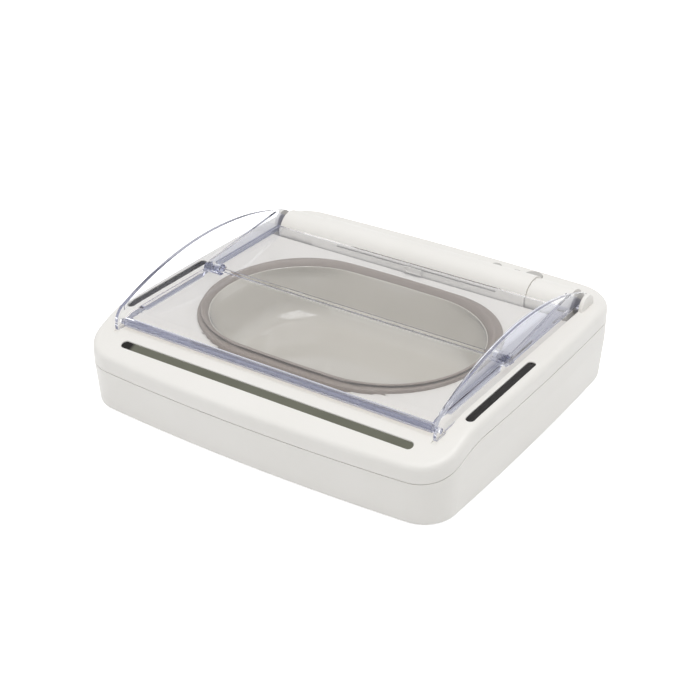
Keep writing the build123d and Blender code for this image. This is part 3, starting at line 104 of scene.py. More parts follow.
# ---------------------------------------------------------------- node helpers
class Tree:
    """Short calls for building a shader node tree."""

    COLUMN_WIDTH = 190
    MIX_SHARE, MIX_FIRST, MIX_SECOND = 0, 6, 7      # a colour mix node's input numbers
    MIX_RESULT = 2

    def __init__(self, tree: bpy.types.NodeTree) -> None:
        """Wrap a node tree."""
        self.tree = tree
        self.column = 0

    def add(self, kind: str, inputs: dict[Any, Any] | None = None,
            **settings: Any) -> bpy.types.Node:
        """Add a node.

        Args:
            kind: The node's type name.
            inputs: Input name or index to a value, or to an output socket to link.
            settings: Properties to set before the inputs.

        Returns:
            The new node.
        """
        node = self.tree.nodes.new(kind)
        node.location = (self.column * self.COLUMN_WIDTH, 0)
        self.column += 1
        for name, value in settings.items():
            setattr(node, name, value)
        for name, value in (inputs or {}).items():
            if isinstance(value, bpy.types.NodeSocket):
                self.tree.links.new(value, node.inputs[name])
            else:
                node.inputs[name].default_value = value
        return node

    def math(self, operation: str, first: Any, second: Any = 0.0,
             clamp: bool = False) -> bpy.types.NodeSocket:
        """Add a Math node and return its output."""
        node = self.add("ShaderNodeMath", {0: first, 1: second}, operation=operation,
                        use_clamp=clamp)
        return node.outputs[0]

    def mix(self, share: Any, first: Any, second: Any) -> bpy.types.NodeSocket:
        """Mix two colours and return the output."""
        node = self.add("ShaderNodeMix", {self.MIX_SHARE: share, self.MIX_FIRST: first,
                                          self.MIX_SECOND: second}, data_type="RGBA")
        return node.outputs[self.MIX_RESULT]

    def ramp(self, value: bpy.types.NodeSocket, low: float, high: float,
             to_low: float = 0.0, to_high: float = 1.0) -> bpy.types.NodeSocket:
        """Map a range of values smoothly onto another and return the output."""
        node = self.add("ShaderNodeMapRange", {
            "Value": value, "From Min": low, "From Max": high, "To Min": to_low,
            "To Max": to_high}, interpolation_type="SMOOTHSTEP")
        return node.outputs[0]

    def noise(self, coordinates: bpy.types.NodeSocket, scale: Any, detail: float = 3.0,
              roughness: float = 0.5) -> bpy.types.NodeSocket:
        """Add a noise texture and return its value."""
        node = self.add("ShaderNodeTexNoise", {"Vector": coordinates, "Scale": scale,
                                               "Detail": detail, "Roughness": roughness})
        return node.outputs[0]

    def bump(self, height: bpy.types.NodeSocket, depth: Any,
             strength: float = 1.0) -> bpy.types.NodeSocket:
        """Add a bump of a depth in metres and return the bent normal."""
        node = self.add("ShaderNodeBump", {"Strength": strength, "Distance": depth,
                                           "Height": height})
        return node.outputs["Normal"]

    def place(self) -> bpy.types.NodeSocket:
        """Return the coordinates of the shaded point in its object."""
        return self.add("ShaderNodeTexCoord").outputs["Object"]

    def group(self, group: bpy.types.NodeTree, **values: Any) -> bpy.types.Node:
        """Add a node group and set its inputs.

        Args:
            group: The group.
            values: Input names, with underscores for spaces, to values.

        Returns:
            The group's node.
        """
        node = self.add("ShaderNodeGroup", node_tree=group)
        for name, value in values.items():
            node.inputs[name.replace("_", " ")].default_value = value
        return node

    def feed(self, node: bpy.types.Node, **sockets: bpy.types.NodeSocket) -> None:
        """Link outputs into a node.

        Args:
            node: The node to feed.
            sockets: Input names, with underscores for spaces, to the outputs that go there.
        """
        for name, socket in sockets.items():
            self.tree.links.new(socket, node.inputs[name.replace("_", " ")])


class TextureGroups:
    """Effects shared by several finishes, each built once as a node group."""

    FLOW_SCALE = 14.0                   # waves to a metre
    FLOW_RANGE = (0.35, 0.7)
    FLOW_MEAN = 0.5
    STREAK_STRETCH = (0.02, 1.0, 1.0)   # the lines run along X
    STREAK_RANGE = (0.35, 0.65)
    STREAK_DEPTH = 0.00003
    STREAK_ROUGHNESS = 0.1
    SMEAR_RANGE = (0.5, 0.8)
    RIPPLE_SCALE = 18.0

    def __init__(self) -> None:
        """Build every group."""
        self.moulded = self._moulded_skin()
        self.streaks = self._drawn_streaks()
        self.handling = self._handling_marks()

    @staticmethod
    def _start(name: str, inputs: list[tuple[str, str, Any]], outputs: list[tuple[str, str]],
               ) -> tuple[bpy.types.NodeTree, Tree, bpy.types.Node, bpy.types.Node]:
        """Make an empty group with its sockets.

        Args:
            name: Name of the group.
            inputs: Socket name, type suffix and default value of each input.
            outputs: Socket name and type suffix of each output.

        Returns:
            The group, its helper, and its input and output nodes.
        """
        group = bpy.data.node_groups.new(name, "ShaderNodeTree")
        for socket_name, kind, default in inputs:
            socket = group.interface.new_socket(socket_name, in_out="INPUT",
                                                socket_type=f"NodeSocket{kind}")
            socket.default_value = default
        for socket_name, kind in outputs:
            group.interface.new_socket(socket_name, in_out="OUTPUT",
                                       socket_type=f"NodeSocket{kind}")
        tree = Tree(group)
        return group, tree, tree.add("NodeGroupInput"), tree.add("NodeGroupOutput")

    def _moulded_skin(self) -> bpy.types.NodeTree:
        """Fine spark-eroded grain with faint flow mottle, for moulded plastic and rubber."""
        group, tree, source, result = self._start(
            "moulded_skin",
            [("Colour", "Color", (0.8, 0.8, 0.8, 1)), ("Shade", "Color", (0.7, 0.7, 0.7, 1)),
             ("Grain Scale", "Float", 2500.0), ("Grain Depth", "Float", 0.00002),
             ("Mottle", "Float", 0.3), ("Roughness", "Float", 0.4),
             ("Roughness Spread", "Float", 0.08)],
            [("Colour", "Color"), ("Roughness", "Float"), ("Normal", "Vector")])
        given = source.outputs
        place = tree.place()
        grain = tree.noise(place, given["Grain Scale"], detail=2.0, roughness=0.6)
        flow = tree.noise(place, self.FLOW_SCALE, detail=3.0, roughness=0.55)
        share = tree.math("MULTIPLY", tree.ramp(flow, *self.FLOW_RANGE), given["Mottle"],
                          clamp=True)
        spread = tree.math("MULTIPLY", tree.math("SUBTRACT", flow, self.FLOW_MEAN),
                           given["Roughness Spread"])
        tree.feed(result, Colour=tree.mix(share, given["Colour"], given["Shade"]),
                  Roughness=tree.math("ADD", given["Roughness"], spread),
                  Normal=tree.bump(grain, given["Grain Depth"]))
        return group

    def _drawn_streaks(self) -> bpy.types.NodeTree:
        """Fine lines along X from drawing or turning, for metal parts."""
        group, tree, source, result = self._start(
            "drawn_streaks",
            [("Light", "Color", (0.7, 0.7, 0.7, 1)), ("Dark", "Color", (0.5, 0.5, 0.5, 1)),
             ("Line Scale", "Float", 2000.0), ("Roughness", "Float", 0.25)],
            [("Colour", "Color"), ("Roughness", "Float"), ("Normal", "Vector")])
        given = source.outputs
        stretched = tree.add("ShaderNodeVectorMath", {0: tree.place(), 1: self.STREAK_STRETCH},
                             operation="MULTIPLY")
        lines = tree.noise(stretched.outputs[0], given["Line Scale"], detail=2.0, roughness=0.6)
        rough = tree.math("MULTIPLY", lines, self.STREAK_ROUGHNESS)
        tree.feed(result, Colour=tree.mix(tree.ramp(lines, *self.STREAK_RANGE), given["Dark"],
                                          given["Light"]),
                  Roughness=tree.math("ADD", given["Roughness"], rough),
                  Normal=tree.bump(lines, self.STREAK_DEPTH, strength=0.4))
        return group

    def _handling_marks(self) -> bpy.types.NodeTree:
        """Faint smears and dust on polished surfaces, as a roughness and a soft ripple."""
        group, tree, source, result = self._start(
            "handling_marks",
            [("Roughness", "Float", 0.03), ("Smear", "Float", 0.06),
             ("Smear Scale", "Float", 9.0), ("Ripple Depth", "Float", 0.00005)],
            [("Roughness", "Float"), ("Normal", "Vector")])
        given = source.outputs
        place = tree.place()
        smudge = tree.noise(place, given["Smear Scale"], detail=5.0, roughness=0.65)
        smear = tree.math("MULTIPLY", tree.ramp(smudge, *self.SMEAR_RANGE), given["Smear"])
        ripple = tree.noise(place, self.RIPPLE_SCALE, detail=1.0, roughness=0.4)
        tree.feed(result, Roughness=tree.math("ADD", given["Roughness"], smear),
                  Normal=tree.bump(ripple, given["Ripple Depth"]))
        return group


# ---------------------------------------------------------------- finishes
def begin_material(name: str) -> tuple[bpy.types.Material, Tree, bpy.types.Node]:
    """Start a material with a Principled shader.

    Args:
        name: Name of the material.

    Returns:
        The material, its tree helper and the Principled node.
    """
    material = bpy.data.materials.new(name)
    material.use_nodes = True
    material.node_tree.nodes.clear()
    tree = Tree(material.node_tree)
    shader = tree.add("ShaderNodeBsdfPrincipled")
    output = tree.add("ShaderNodeOutputMaterial")
    material.node_tree.links.new(shader.outputs[0], output.inputs[0])
    return material, tree, shader


@dataclass(frozen=True)
class MouldedPlastic:
    """Opaque moulded plastic or rubber with a fine grain."""

    name: str
    colour: Colour
    shade: Colour
    roughness: float
    grain_scale: float                  # grains to a metre
    mottle: float
    grain_depth: float = 0.00002        # metres
    roughness_spread: float = 0.08
    coat: float = 0.0
    coat_roughness: float = 0.1

    def build(self, groups: TextureGroups) -> bpy.types.Material:
        """Make the material.

        Args:
            groups: The shared node groups.

        Returns:
            The material.
        """
        material, tree, shader = begin_material(self.name)
        skin = tree.group(groups.moulded, Colour=linear(self.colour), Shade=linear(self.shade),
                          Grain_Scale=self.grain_scale, Grain_Depth=self.grain_depth,
                          Mottle=self.mottle, Roughness=self.roughness,
                          Roughness_Spread=self.roughness_spread)
        tree.feed(shader, Base_Color=skin.outputs["Colour"], Roughness=skin.outputs["Roughness"],
                  Normal=skin.outputs["Normal"])
        shader.inputs["Coat Weight"].default_value = self.coat
        shader.inputs["Coat Roughness"].default_value = self.coat_roughness
        return material


@dataclass(frozen=True)
class ClearPlastic:
    """Polished clear plastic, faintly blue through its thickness."""

    name: str
    tint: Colour = (252, 253, 255)
    roughness: float = 0.02
    smear: float = 0.04
    ior: float = 1.49
    absorb: Colour = (202, 205, 214)
    absorb_density: float = 10.0
    shadow: Colour = (252, 251, 250)
    trapped: Colour = (226, 227, 236)   # what is left of light that keeps bouncing inside
    trapped_after: float = 4.5          # counted in bounces
    ripple_depth: float = 0.00002

    def build(self, groups: TextureGroups) -> bpy.types.Material:
        """Make the material, which lets light through to what is under it without bending it.

        Args:
            groups: The shared node groups.

        Returns:
            The material.
        """
        material, tree, shader = begin_material(self.name)
        marks = tree.group(groups.handling, Roughness=self.roughness, Smear=self.smear,
                           Ripple_Depth=self.ripple_depth)
        tree.feed(shader, Roughness=marks.outputs["Roughness"], Normal=marks.outputs["Normal"])
        shader.inputs["Base Color"].default_value = linear(self.tint)
        shader.inputs["Transmission Weight"].default_value = 1.0
        shader.inputs["IOR"].default_value = self.ior
        output = next(node for node in tree.tree.nodes if node.type == "OUTPUT_MATERIAL")
        path = tree.add("ShaderNodeLightPath")
        trapped = tree.math("GREATER_THAN", path.outputs["Ray Depth"], self.trapped_after)
        passing = tree.add("ShaderNodeBsdfTransparent", {
            "Color": tree.mix(trapped, linear(self.shadow), linear(self.trapped))})
        lighting = tree.math("MAXIMUM", path.outputs["Is Shadow Ray"],
                             path.outputs["Is Diffuse Ray"])
        choice = tree.add("ShaderNodeMixShader", {
            0: tree.math("MAXIMUM", lighting, trapped), 1: shader.outputs[0],
            2: passing.outputs[0]})
        body = tree.add("ShaderNodeVolumeAbsorption", {"Color": linear(self.absorb),
                                                       "Density": self.absorb_density})
        tree.feed(output, Surface=choice.outputs[0], Volume=body.outputs[0])
        return material


@dataclass(frozen=True)
class TintedWindow:
    """Dark sensor window with a painted reflection, lighter across the front between its dark
    ends.
    """

    name: str
    # the middle colour is a painted reflection across the front of the window
    middle: Colour
    ends: Colour
    reflection_half_width: float
    centre: float
    blend: float = 1.5
    roughness: float = 0.12
    specular: float = 0.3
    cloud_scale: float = 25.0
    cloud_range: Point2 = (0.3, 0.7)
    cloud_shade: Point2 = (0.85, 1.0)

    def build(self, groups: TextureGroups) -> bpy.types.Material:
        """Make the material.

        Args:
            groups: The shared node groups.

        Returns:
            The material.
        """
        material, tree, shader = begin_material(self.name)
        place = tree.place()
        across = tree.add("ShaderNodeSeparateXYZ", {"Vector": place}).outputs["X"]
        offset = tree.math("ABSOLUTE", tree.math("SUBTRACT", across, self.centre * MM))
        share = tree.ramp(offset, (self.reflection_half_width - self.blend) * MM,
                          (self.reflection_half_width + self.blend) * MM)
        cloud = tree.ramp(tree.noise(place, self.cloud_scale), *self.cloud_range,
                          *self.cloud_shade)
        # painted reflection: the lighter middle colour, fading into the dark ends
        colour = tree.mix(share, linear(self.middle), linear(self.ends))
        tinted = tree.add("ShaderNodeVectorMath", {0: colour, "Scale": cloud}, operation="SCALE")
        marks = tree.group(groups.handling, Roughness=self.roughness)
        tree.feed(shader, Base_Color=tinted.outputs[0], Roughness=marks.outputs["Roughness"],
                  Normal=marks.outputs["Normal"])
        shader.inputs["Specular IOR Level"].default_value = self.specular
        return material


@dataclass(frozen=True)
class MetalFinish:
    """Drawn, turned or plated metal."""

    name: str
    light: Colour
    dark: Colour
    line_scale: float
    roughness: float = 0.25

    def build(self, groups: TextureGroups) -> bpy.types.Material:
        """Make the material.

        Args:
            groups: The shared node groups.

        Returns:
            The material.
        """
        material, tree, shader = begin_material(self.name)
        streaks = tree.group(groups.streaks, Light=linear(self.light), Dark=linear(self.dark),
                             Line_Scale=self.line_scale, Roughness=self.roughness)
        tree.feed(shader, Base_Color=streaks.outputs["Colour"],
                  Roughness=streaks.outputs["Roughness"], Normal=streaks.outputs["Normal"])
        shader.inputs["Metallic"].default_value = 1.0
        return material


@dataclass(frozen=True)
class BoardFinish:
    """Circuit board with copper tracks under solder mask."""

    name: str
    mask: Colour
    track: Colour
    tracks_per_metre: float = 420.0
    track_edge: Point2 = (0.25, 0.32)
    roughness: float = 0.3

    def build(self, groups: TextureGroups) -> bpy.types.Material:
        """Make the material.

        Args:
            groups: The shared node groups.

        Returns:
            The material.
        """
        material, tree, shader = begin_material(self.name)
        cells = tree.add("ShaderNodeTexVoronoi", {
            "Vector": tree.place(), "Scale": self.tracks_per_metre}, distance="CHEBYCHEV")
        track = tree.ramp(cells.outputs["Distance"], *self.track_edge)
        marks = tree.group(groups.handling, Roughness=self.roughness)
        tree.feed(shader, Base_Color=tree.mix(track, linear(self.mask), linear(self.track)),
                  Roughness=marks.outputs["Roughness"], Normal=marks.outputs["Normal"])
        return material


@dataclass(frozen=True)
class Finishes:
    """One built material for each slot of the record."""

    built: dict[str, bpy.types.Material]

    @classmethod
    def build(cls) -> Finishes:
        """Build every finish and return them under their slots' names."""
        groups = TextureGroups()
        finishes = [
            MouldedPlastic("white_plastic", (237, 235, 231), (233, 231, 226), roughness=0.42,
                           grain_scale=2200.0, grain_depth=0.00003, mottle=0.5),
            MouldedPlastic("bowl_plastic", (205, 201, 191), (198, 194, 184), roughness=0.08,
                           grain_scale=900.0, grain_depth=0.00001, mottle=0.5, coat=0.5,
                           coat_roughness=0.03),
            MouldedPlastic("seal_rubber", (150, 139, 131), (142, 131, 123), roughness=0.5,
                           grain_scale=3000.0, grain_depth=0.00003, mottle=0.5),
            MouldedPlastic("button_plastic", (188, 186, 182), (180, 178, 174), roughness=0.38,
                           grain_scale=2600.0, grain_depth=0.00003, mottle=0.4),
            MouldedPlastic("silicone", (214, 214, 208), (204, 204, 198), roughness=0.5,
                           grain_scale=3000.0, mottle=0.4),
            MouldedPlastic("nylon", (232, 229, 216), (224, 220, 205), roughness=0.4,
                           grain_scale=2600.0, mottle=0.4),
            MouldedPlastic("cell_jacket", (42, 44, 50), (34, 36, 41), roughness=0.3,
                           grain_scale=1200.0, grain_depth=0.00001, mottle=0.4),
            MouldedPlastic("foot_rubber", (62, 62, 62), (54, 54, 54), roughness=0.6,
                           grain_scale=3200.0, grain_depth=0.00005, mottle=0.5),
            MouldedPlastic("clear_light", (70, 58, 50), (60, 50, 42), roughness=0.15,
                           grain_scale=900.0, grain_depth=0.00001, mottle=0.3),
            ClearPlastic("clear_plastic"),
            # the window's lighter middle colour is a painted reflection
            TintedWindow("window_plastic", middle=(108, 109, 96), ends=(22, 18, 15),
                         reflection_half_width=91.5, centre=7.0),
            MetalFinish("steel", light=(196, 196, 198), dark=(160, 160, 163), line_scale=2600.0),
            MetalFinish("nickel", light=(206, 201, 190), dark=(180, 174, 162), roughness=0.2,
                        line_scale=3200.0),
            BoardFinish("circuit_board", mask=(20, 84, 48), track=(34, 108, 62)),
        ]
        return cls({finish.name: finish.build(groups) for finish in finishes})

    def dress(self, frame: dict[str, Any], slot: str, *nodes: str) -> None:
        """Give CAD nodes the finish of a slot.

        Args:
            slot: Name of the slot and its finish.
            nodes: Names of the CAD nodes.
        """
        for node in nodes:
            data = frame["nodes"][node].data
            data.materials.clear()
            data.materials.append(self.built[slot])


# ---------------------------------------------------------------- studio
@dataclass(frozen=True)
class SoftLamp:
    """A soft square lamp that faces the part. Lengths are metres, the power is watts."""

    name: str
    place: Point3
    size: float
    power: float
    aim: Point3 = (0.0, 0.0, 0.03)

    def build(self) -> None:
        """Make the lamp and turn it to the part."""
        light = bpy.data.lights.new(self.name, "AREA")
        light.size = self.size
        light.energy = self.power
        lamp = bpy.data.objects.new(self.name, light)
        lamp.location = self.place
        towards = Vector(self.aim) - Vector(self.place)
        lamp.rotation_euler = towards.to_track_quat("-Z", "Y").to_euler()
        bpy.context.scene.collection.objects.link(lamp)


@dataclass
class Studio:
    """White sweep floor, white surroundings for the lens and glass, and soft lamps.

    Attributes:
        floor_half: Half the side of the floor, in metres.
        floor_shade: Grey of the floor in linear light.
        floor_glow: Light that the floor gives off where it is seen.
        ambient: Level of the surroundings as they light the part.
        overhead: Level overhead as glass sees it, where the horizon is 1.
        rise: Heights, as the sine of the angle, over which the level goes from 1 to overhead.
        lens_side: Share of that level left in the direction that mirrors the camera.
        lens_direction: That direction.
        lens_spread: Cosines of the angle from it over which the share falls.
        lamps: The lamps.
    """

    floor_half: float = 6.0
    floor_shade: float = 0.8
    floor_glow: float = 0.86
    ambient: float = 0.55
    overhead: float = 0.72
    rise: Point2 = (0.05, 0.4)
    lens_side: float = 0.25
    lens_direction: Point3 = (0.481, -0.726, 0.491)
    lens_spread: Point2 = (0.45, 0.85)
    lamps: tuple[SoftLamp, ...] = (
        SoftLamp("key", (0.25, -0.05, 1.5), size=1.0, power=11.0),
        SoftLamp("front", (-0.9, -1.2, 0.9), size=1.0, power=3.2),
        SoftLamp("side", (1.5, -0.5, 0.8), size=0.9, power=1.0),
    )

    def build(self) -> None:
        """Make the floor, world and lamps."""
        self._floor()
        self._world()
        for lamp in self.lamps:
            lamp.build()

    @staticmethod
    def _seen(tree: Tree) -> tuple[bpy.types.NodeSocket, bpy.types.NodeSocket]:
        """Tell what is looked at from what only lights the part.

        Args:
            tree: The tree that asks.

        Returns:
            1 for camera rays, and 1 for camera, glossy and transmission rays that no matt face
            has scattered.
        """
        path = tree.add("ShaderNodeLightPath")
        mirrored = tree.math("MAXIMUM", path.outputs["Is Glossy Ray"],
                             path.outputs["Is Transmission Ray"])
        unscattered = tree.math("LESS_THAN", path.outputs["Diffuse Depth"], 0.5)
        camera = path.outputs["Is Camera Ray"]
        return camera, tree.math("MAXIMUM", camera, tree.math("MULTIPLY", mirrored, unscattered))

    def _floor(self) -> None:
        """Make the floor, which glows just below white where it is seen and keeps the shadow."""
        half = self.floor_half
        mesh = bpy.data.meshes.new("floor")
        corners = [(-half, -half, 0), (half, -half, 0), (half, half, 0), (-half, half, 0)]
        mesh.from_pydata(corners, [], [(0, 1, 2, 3)])
        floor = bpy.data.objects.new("floor", mesh)
        bpy.context.scene.collection.objects.link(floor)
        material, tree, shader = begin_material("floor_white")
        shader.inputs["Base Color"].default_value = (*[self.floor_shade] * 3, 1.0)
        shader.inputs["Roughness"].default_value = 0.9
        shader.inputs["Specular IOR Level"].default_value = 0.1
        shader.inputs["Emission Color"].default_value = WHITE
        _, seen = self._seen(tree)
        tree.feed(shader, Emission_Strength=tree.math("MULTIPLY", seen, self.floor_glow))
        mesh.materials.append(material)

    def _world(self) -> None:
        """Make the surroundings: white to the lens, pale to glass, a plain level to the rest."""
        world = bpy.data.worlds.new("studio")
        bpy.context.scene.world = world
        world.use_nodes = True
        world.node_tree.nodes.clear()
        tree = Tree(world.node_tree)
        camera, seen = self._seen(tree)
        direction = tree.add("ShaderNodeTexCoord").outputs["Generated"]
        height = tree.add("ShaderNodeSeparateXYZ", {0: direction}).outputs["Z"]
        towards_lens = tree.add("ShaderNodeVectorMath", {0: direction, 1: self.lens_direction},
                                operation="DOT_PRODUCT").outputs["Value"]
        room = tree.math("MULTIPLY", tree.ramp(height, *self.rise, 1.0, self.overhead),
                         tree.ramp(towards_lens, *self.lens_spread, 1.0, self.lens_side))
        level = tree.math("MAXIMUM", camera, room)
        extra = tree.math("MULTIPLY", seen, tree.math("SUBTRACT", level, self.ambient))
        background = tree.add("ShaderNodeBackground", {
            "Color": WHITE, "Strength": tree.math("ADD", extra, self.ambient)})
        tree.feed(tree.add("ShaderNodeOutputWorld"), Surface=background.outputs[0])


@dataclass
class ProductCamera:
    """The viewing camera, above and to the right of the part's front, in metres and degrees."""

    azimuth_deg: float = 33.517
    elevation_deg: float = 29.364
    roll_deg: float = 0.121
    place: Point3 = (0.39633, -0.60279, 0.42875)
    lens: float = 76.68
    sensor: float = 36.0

    def build(self) -> None:
        """Make the camera and hand it to the scene."""
        across, up_angle, roll = (math.radians(angle) for angle in
                                  (self.azimuth_deg, self.elevation_deg, self.roll_deg))
        right = Vector((math.cos(across), math.sin(across), 0.0))
        back = Vector((math.sin(across) * math.cos(up_angle),
                       -math.cos(across) * math.cos(up_angle), math.sin(up_angle)))
        up = back.cross(right)
        axis_x = right * math.cos(roll) + up * math.sin(roll)
        axis_y = up * math.cos(roll) - right * math.sin(roll)
        data = bpy.data.cameras.new("product_camera")
        data.lens = self.lens
        data.sensor_width = self.sensor
        data.sensor_fit = "HORIZONTAL"
        data.clip_start = 0.01
        camera = bpy.data.objects.new("product_camera", data)
        rotation = Matrix((axis_x, axis_y, back)).transposed()
        camera.matrix_world = Matrix.Translation(Vector(self.place)) @ rotation.to_4x4()
        bpy.context.scene.collection.objects.link(camera)
        bpy.context.scene.camera = camera


# ---------------------------------------------------------------- printed marks
SHARPEST_MITRE = 0.5        # cosine of half the turn past which a corner is no longer drawn out


def ribbon(points: list[Point2], half_width: float, closed: bool = False,
           ) -> tuple[list[Point2], list[tuple[int, ...]]]:
    """Widen a line into flat quads with mitred corners.

    Args:
        points: The line's points.
        half_width: Half the line's width.
        closed: Whether the last point joins the first.

    Returns:
        The ribbon's points and its faces.
    """
    count = len(points)
    corners: list[Point2] = []
    for index, point in enumerate(points):
        before = points[index - 1] if closed or index > 0 else point
        after = points[(index + 1) % count] if closed or index < count - 1 else point
        inward = (Vector(point) - Vector(before)).normalized()
        outward = (Vector(after) - Vector(point)).normalized()
        along = (inward + outward).normalized()
        side = Vector((-along.y, along.x))
        mitre = max(SHARPEST_MITRE, along.dot(outward if outward.length else inward))
        offset = side * (half_width / mitre)
        corners += [tuple(Vector(point) + offset), tuple(Vector(point) - offset)]
    steps = count if closed else count - 1
    faces = [(2 * i, 2 * i + 1, (2 * i + 3) % (2 * count), (2 * i + 2) % (2 * count))
             for i in range(steps)]
    return corners, faces


@dataclass
class PrintedMark:
    """A thin printed symbol on a level face.

    Attributes:
        name: Name of the piece.
        centre: Its middle.
        level: Height of the face.
        lines: Points, width and whether it is closed, for each line.
        solids: Points of each filled shape.
        thickness: Thickness of the ink.
    """

    name: str
    centre: Point2
    level: float
    lines: list[tuple[list[Point2], float, bool]] = field(default_factory=list)
    solids: list[list[Point2]] = field(default_factory=list)
    thickness: float = 0.03

    def build(self, material: bpy.types.Material) -> bpy.types.Object:
        """Make the mark as one closed mesh.

        Args:
            material: The ink.

        Returns:
            The new object.
        """
        mesh_data = bmesh.new()
        shapes = [ribbon(points, width / 2, closed) for points, width, closed in self.lines]
        shapes += [(points, [tuple(range(len(points)))]) for points in self.solids]
        for points, faces in shapes:
            low = [mesh_data.verts.new(self._place(point, 0.0)) for point in points]
            high = [mesh_data.verts.new(self._place(point, self.thickness)) for point in points]
            for face in faces:
                mesh_data.faces.new([high[i] for i in face])
                mesh_data.faces.new([low[i] for i in reversed(face)])
            edges: dict[tuple[int, int], int] = {}
            for face in faces:
                for first, second in zip(face, face[1:] + face[:1]):
                    key = (min(first, second), max(first, second))
                    edges[key] = edges.get(key, 0) + 1
            for (first, second), uses in edges.items():
                if uses == 1:
                    mesh_data.faces.new((low[first], low[second], high[second], high[first]))
        bmesh.ops.recalc_face_normals(mesh_data, faces=mesh_data.faces)
        mesh = bpy.data.meshes.new(self.name)
        mesh_data.to_mesh(mesh)
        mesh_data.free()
        mesh.materials.append(material)
        mark = bpy.data.objects.new(self.name, mesh)
        bpy.context.scene.collection.objects.link(mark)
        return mark

    def _place(self, point: Point2, rise: float) -> Vector:
        """Turn a mark's point into metres in the part's frame."""
        return Vector((self.centre[0] + point[0], self.centre[1] + point[1],
                       self.level + rise)) * MM


def arc_points(centre: Point2, radius: Point2, start_deg: float, end_deg: float,
               steps: int) -> list[Point2]:
    """Return points along part of an ellipse."""
    turns = [math.radians(start_deg + (end_deg - start_deg) * i / steps) for i in range(steps + 1)]
    return [(centre[0] + radius[0] * math.cos(turn), centre[1] + radius[1] * math.sin(turn))
            for turn in turns]


# ---------------------------------------------------------------- ringed pieces
@dataclass(frozen=True)
class BowedPlan:
    """Rectangle with outward-bowed sides and round corners, seen from above."""

    half_width: float
    half_depth: float
    side_bow: float
    end_bow: float
    front_radius: float
    rear_radius: float
    centre_y: float
    arc_steps: int = 14

    def ring(self, inset: float, height: float) -> Ring:
        """Trace the whole outline, always with the same number of points.

        Args:
            inset: How far the outline is moved in.
            height: Height of the ring.

        Returns:
            The ring's points.
        """
        rear = self._quarter(inset, self.rear_radius - inset)
        front = self._quarter(inset, self.front_radius - inset)
        right = rear[:-1] + [(x, -y) for x, y in reversed(front)]
        left = [(-x, y) for x, y in reversed(right)][1:-1]
        return [Vector((x, y + self.centre_y, height)) for x, y in right + left]

    def _quarter(self, inset: float, radius: float) -> list[Point2]:
        """Trace the outline from the middle of the rear side to the middle of the right side.

        Args:
            inset: How far the outline is moved in.
            radius: Radius of the corner.

        Returns:
            Points on the end arc, the corner arc and the side arc.
        """
        width, depth = self.half_width - inset, self.half_depth - inset
        corner_x, corner_y = width - self.side_bow, depth - self.end_bow
        end_radius = (corner_x**2 + self.end_bow**2) / (2 * self.end_bow)
        side_radius = (corner_y**2 + self.side_bow**2) / (2 * self.side_bow)
        end, side = Vector((0.0, depth - end_radius)), Vector((width - side_radius, 0.0))
        span = side - end
        reach, other = end_radius - radius, side_radius - radius
        along = (reach**2 - other**2 + span.length_squared) / (2 * span.length)
        away = math.sqrt(max(0.0, reach**2 - along**2))
        across = Vector((-span.y, span.x)).normalized()
        choices = [end + span.normalized() * along + across * turn * away for turn in (1, -1)]
        corner = max(choices, key=lambda point: point.x + point.y)
        first = math.atan2(corner.y - end.y, corner.x - end.x)
        last = math.atan2(corner.y - side.y, corner.x - side.x)
        arcs = ((end, end_radius, math.pi / 2, first), (corner, radius, first, last),
                (side, side_radius, last, 0.0))
        points = [(centre.x + size * math.cos(start + (stop - start) * step / self.arc_steps),
                   centre.y + size * math.sin(start + (stop - start) * step / self.arc_steps))
                  for centre, size, start, stop in arcs for step in range(self.arc_steps)]
        return points + [(width, 0.0)]


SHARP_ANGLE = math.radians(50)


def ringed_piece(name: str, rings: list[Ring], closed: bool,
                 material: bpy.types.Material) -> bpy.types.Object:
    """Skin a row of rings into one closed piece.

    Args:
        name: Name of the piece.
        rings: Rings in millimetres with equal numbers of points.
        closed: Whether the last ring joins the first. If not, both ends are capped.
        material: Its finish.

    Returns:
        The new object.
    """
    mesh_data = bmesh.new()
    rows = [[mesh_data.verts.new(point * MM) for point in ring] for ring in rings]
    pairs = list(zip(rows, rows[1:])) + ([(rows[-1], rows[0])] if closed else [])
    for low, high in pairs:
        for index in range(len(low)):
            after = (index + 1) % len(low)
            mesh_data.faces.new((low[index], low[after], high[after], high[index]))
    if not closed:
        mesh_data.faces.new(list(reversed(rows[0])))
        mesh_data.faces.new(rows[-1])
    bmesh.ops.recalc_face_normals(mesh_data, faces=mesh_data.faces)
    mesh = bpy.data.meshes.new(name)
    mesh_data.to_mesh(mesh)
    mesh_data.free()
    mesh.shade_smooth()
    mesh.set_sharp_from_angle(angle=SHARP_ANGLE)
    mesh.materials.append(material)
    piece = bpy.data.objects.new(name, mesh)
    bpy.context.scene.collection.objects.link(piece)
    return piece


# ---------------------------------------------------------------- sub-assemblies
@dataclass
class Housing:
    """Shells, sensor windows and boards, feet and screws."""

    shells: tuple[str, ...] = ("upper_shell", "lower_shell")
    windows: tuple[str, ...] = ("front_sensor_window", "right_sensor_window",
                                "left_sensor_window")
    boards: tuple[str, ...] = ("front_sensor_board", "right_sensor_board", "left_sensor_board")

    def dress(self, frame: dict[str, Any], finishes: Finishes) -> None:
        """Give the housing's nodes their finishes."""
        finishes.dress(frame, "white_plastic", *self.shells)
        finishes.dress(frame, "window_plastic", *self.windows)
        finishes.dress(frame, "circuit_board", *self.boards)
        finishes.dress(frame, "foot_rubber", "rubber_feet")
        finishes.dress(frame, "steel", "case_screws")


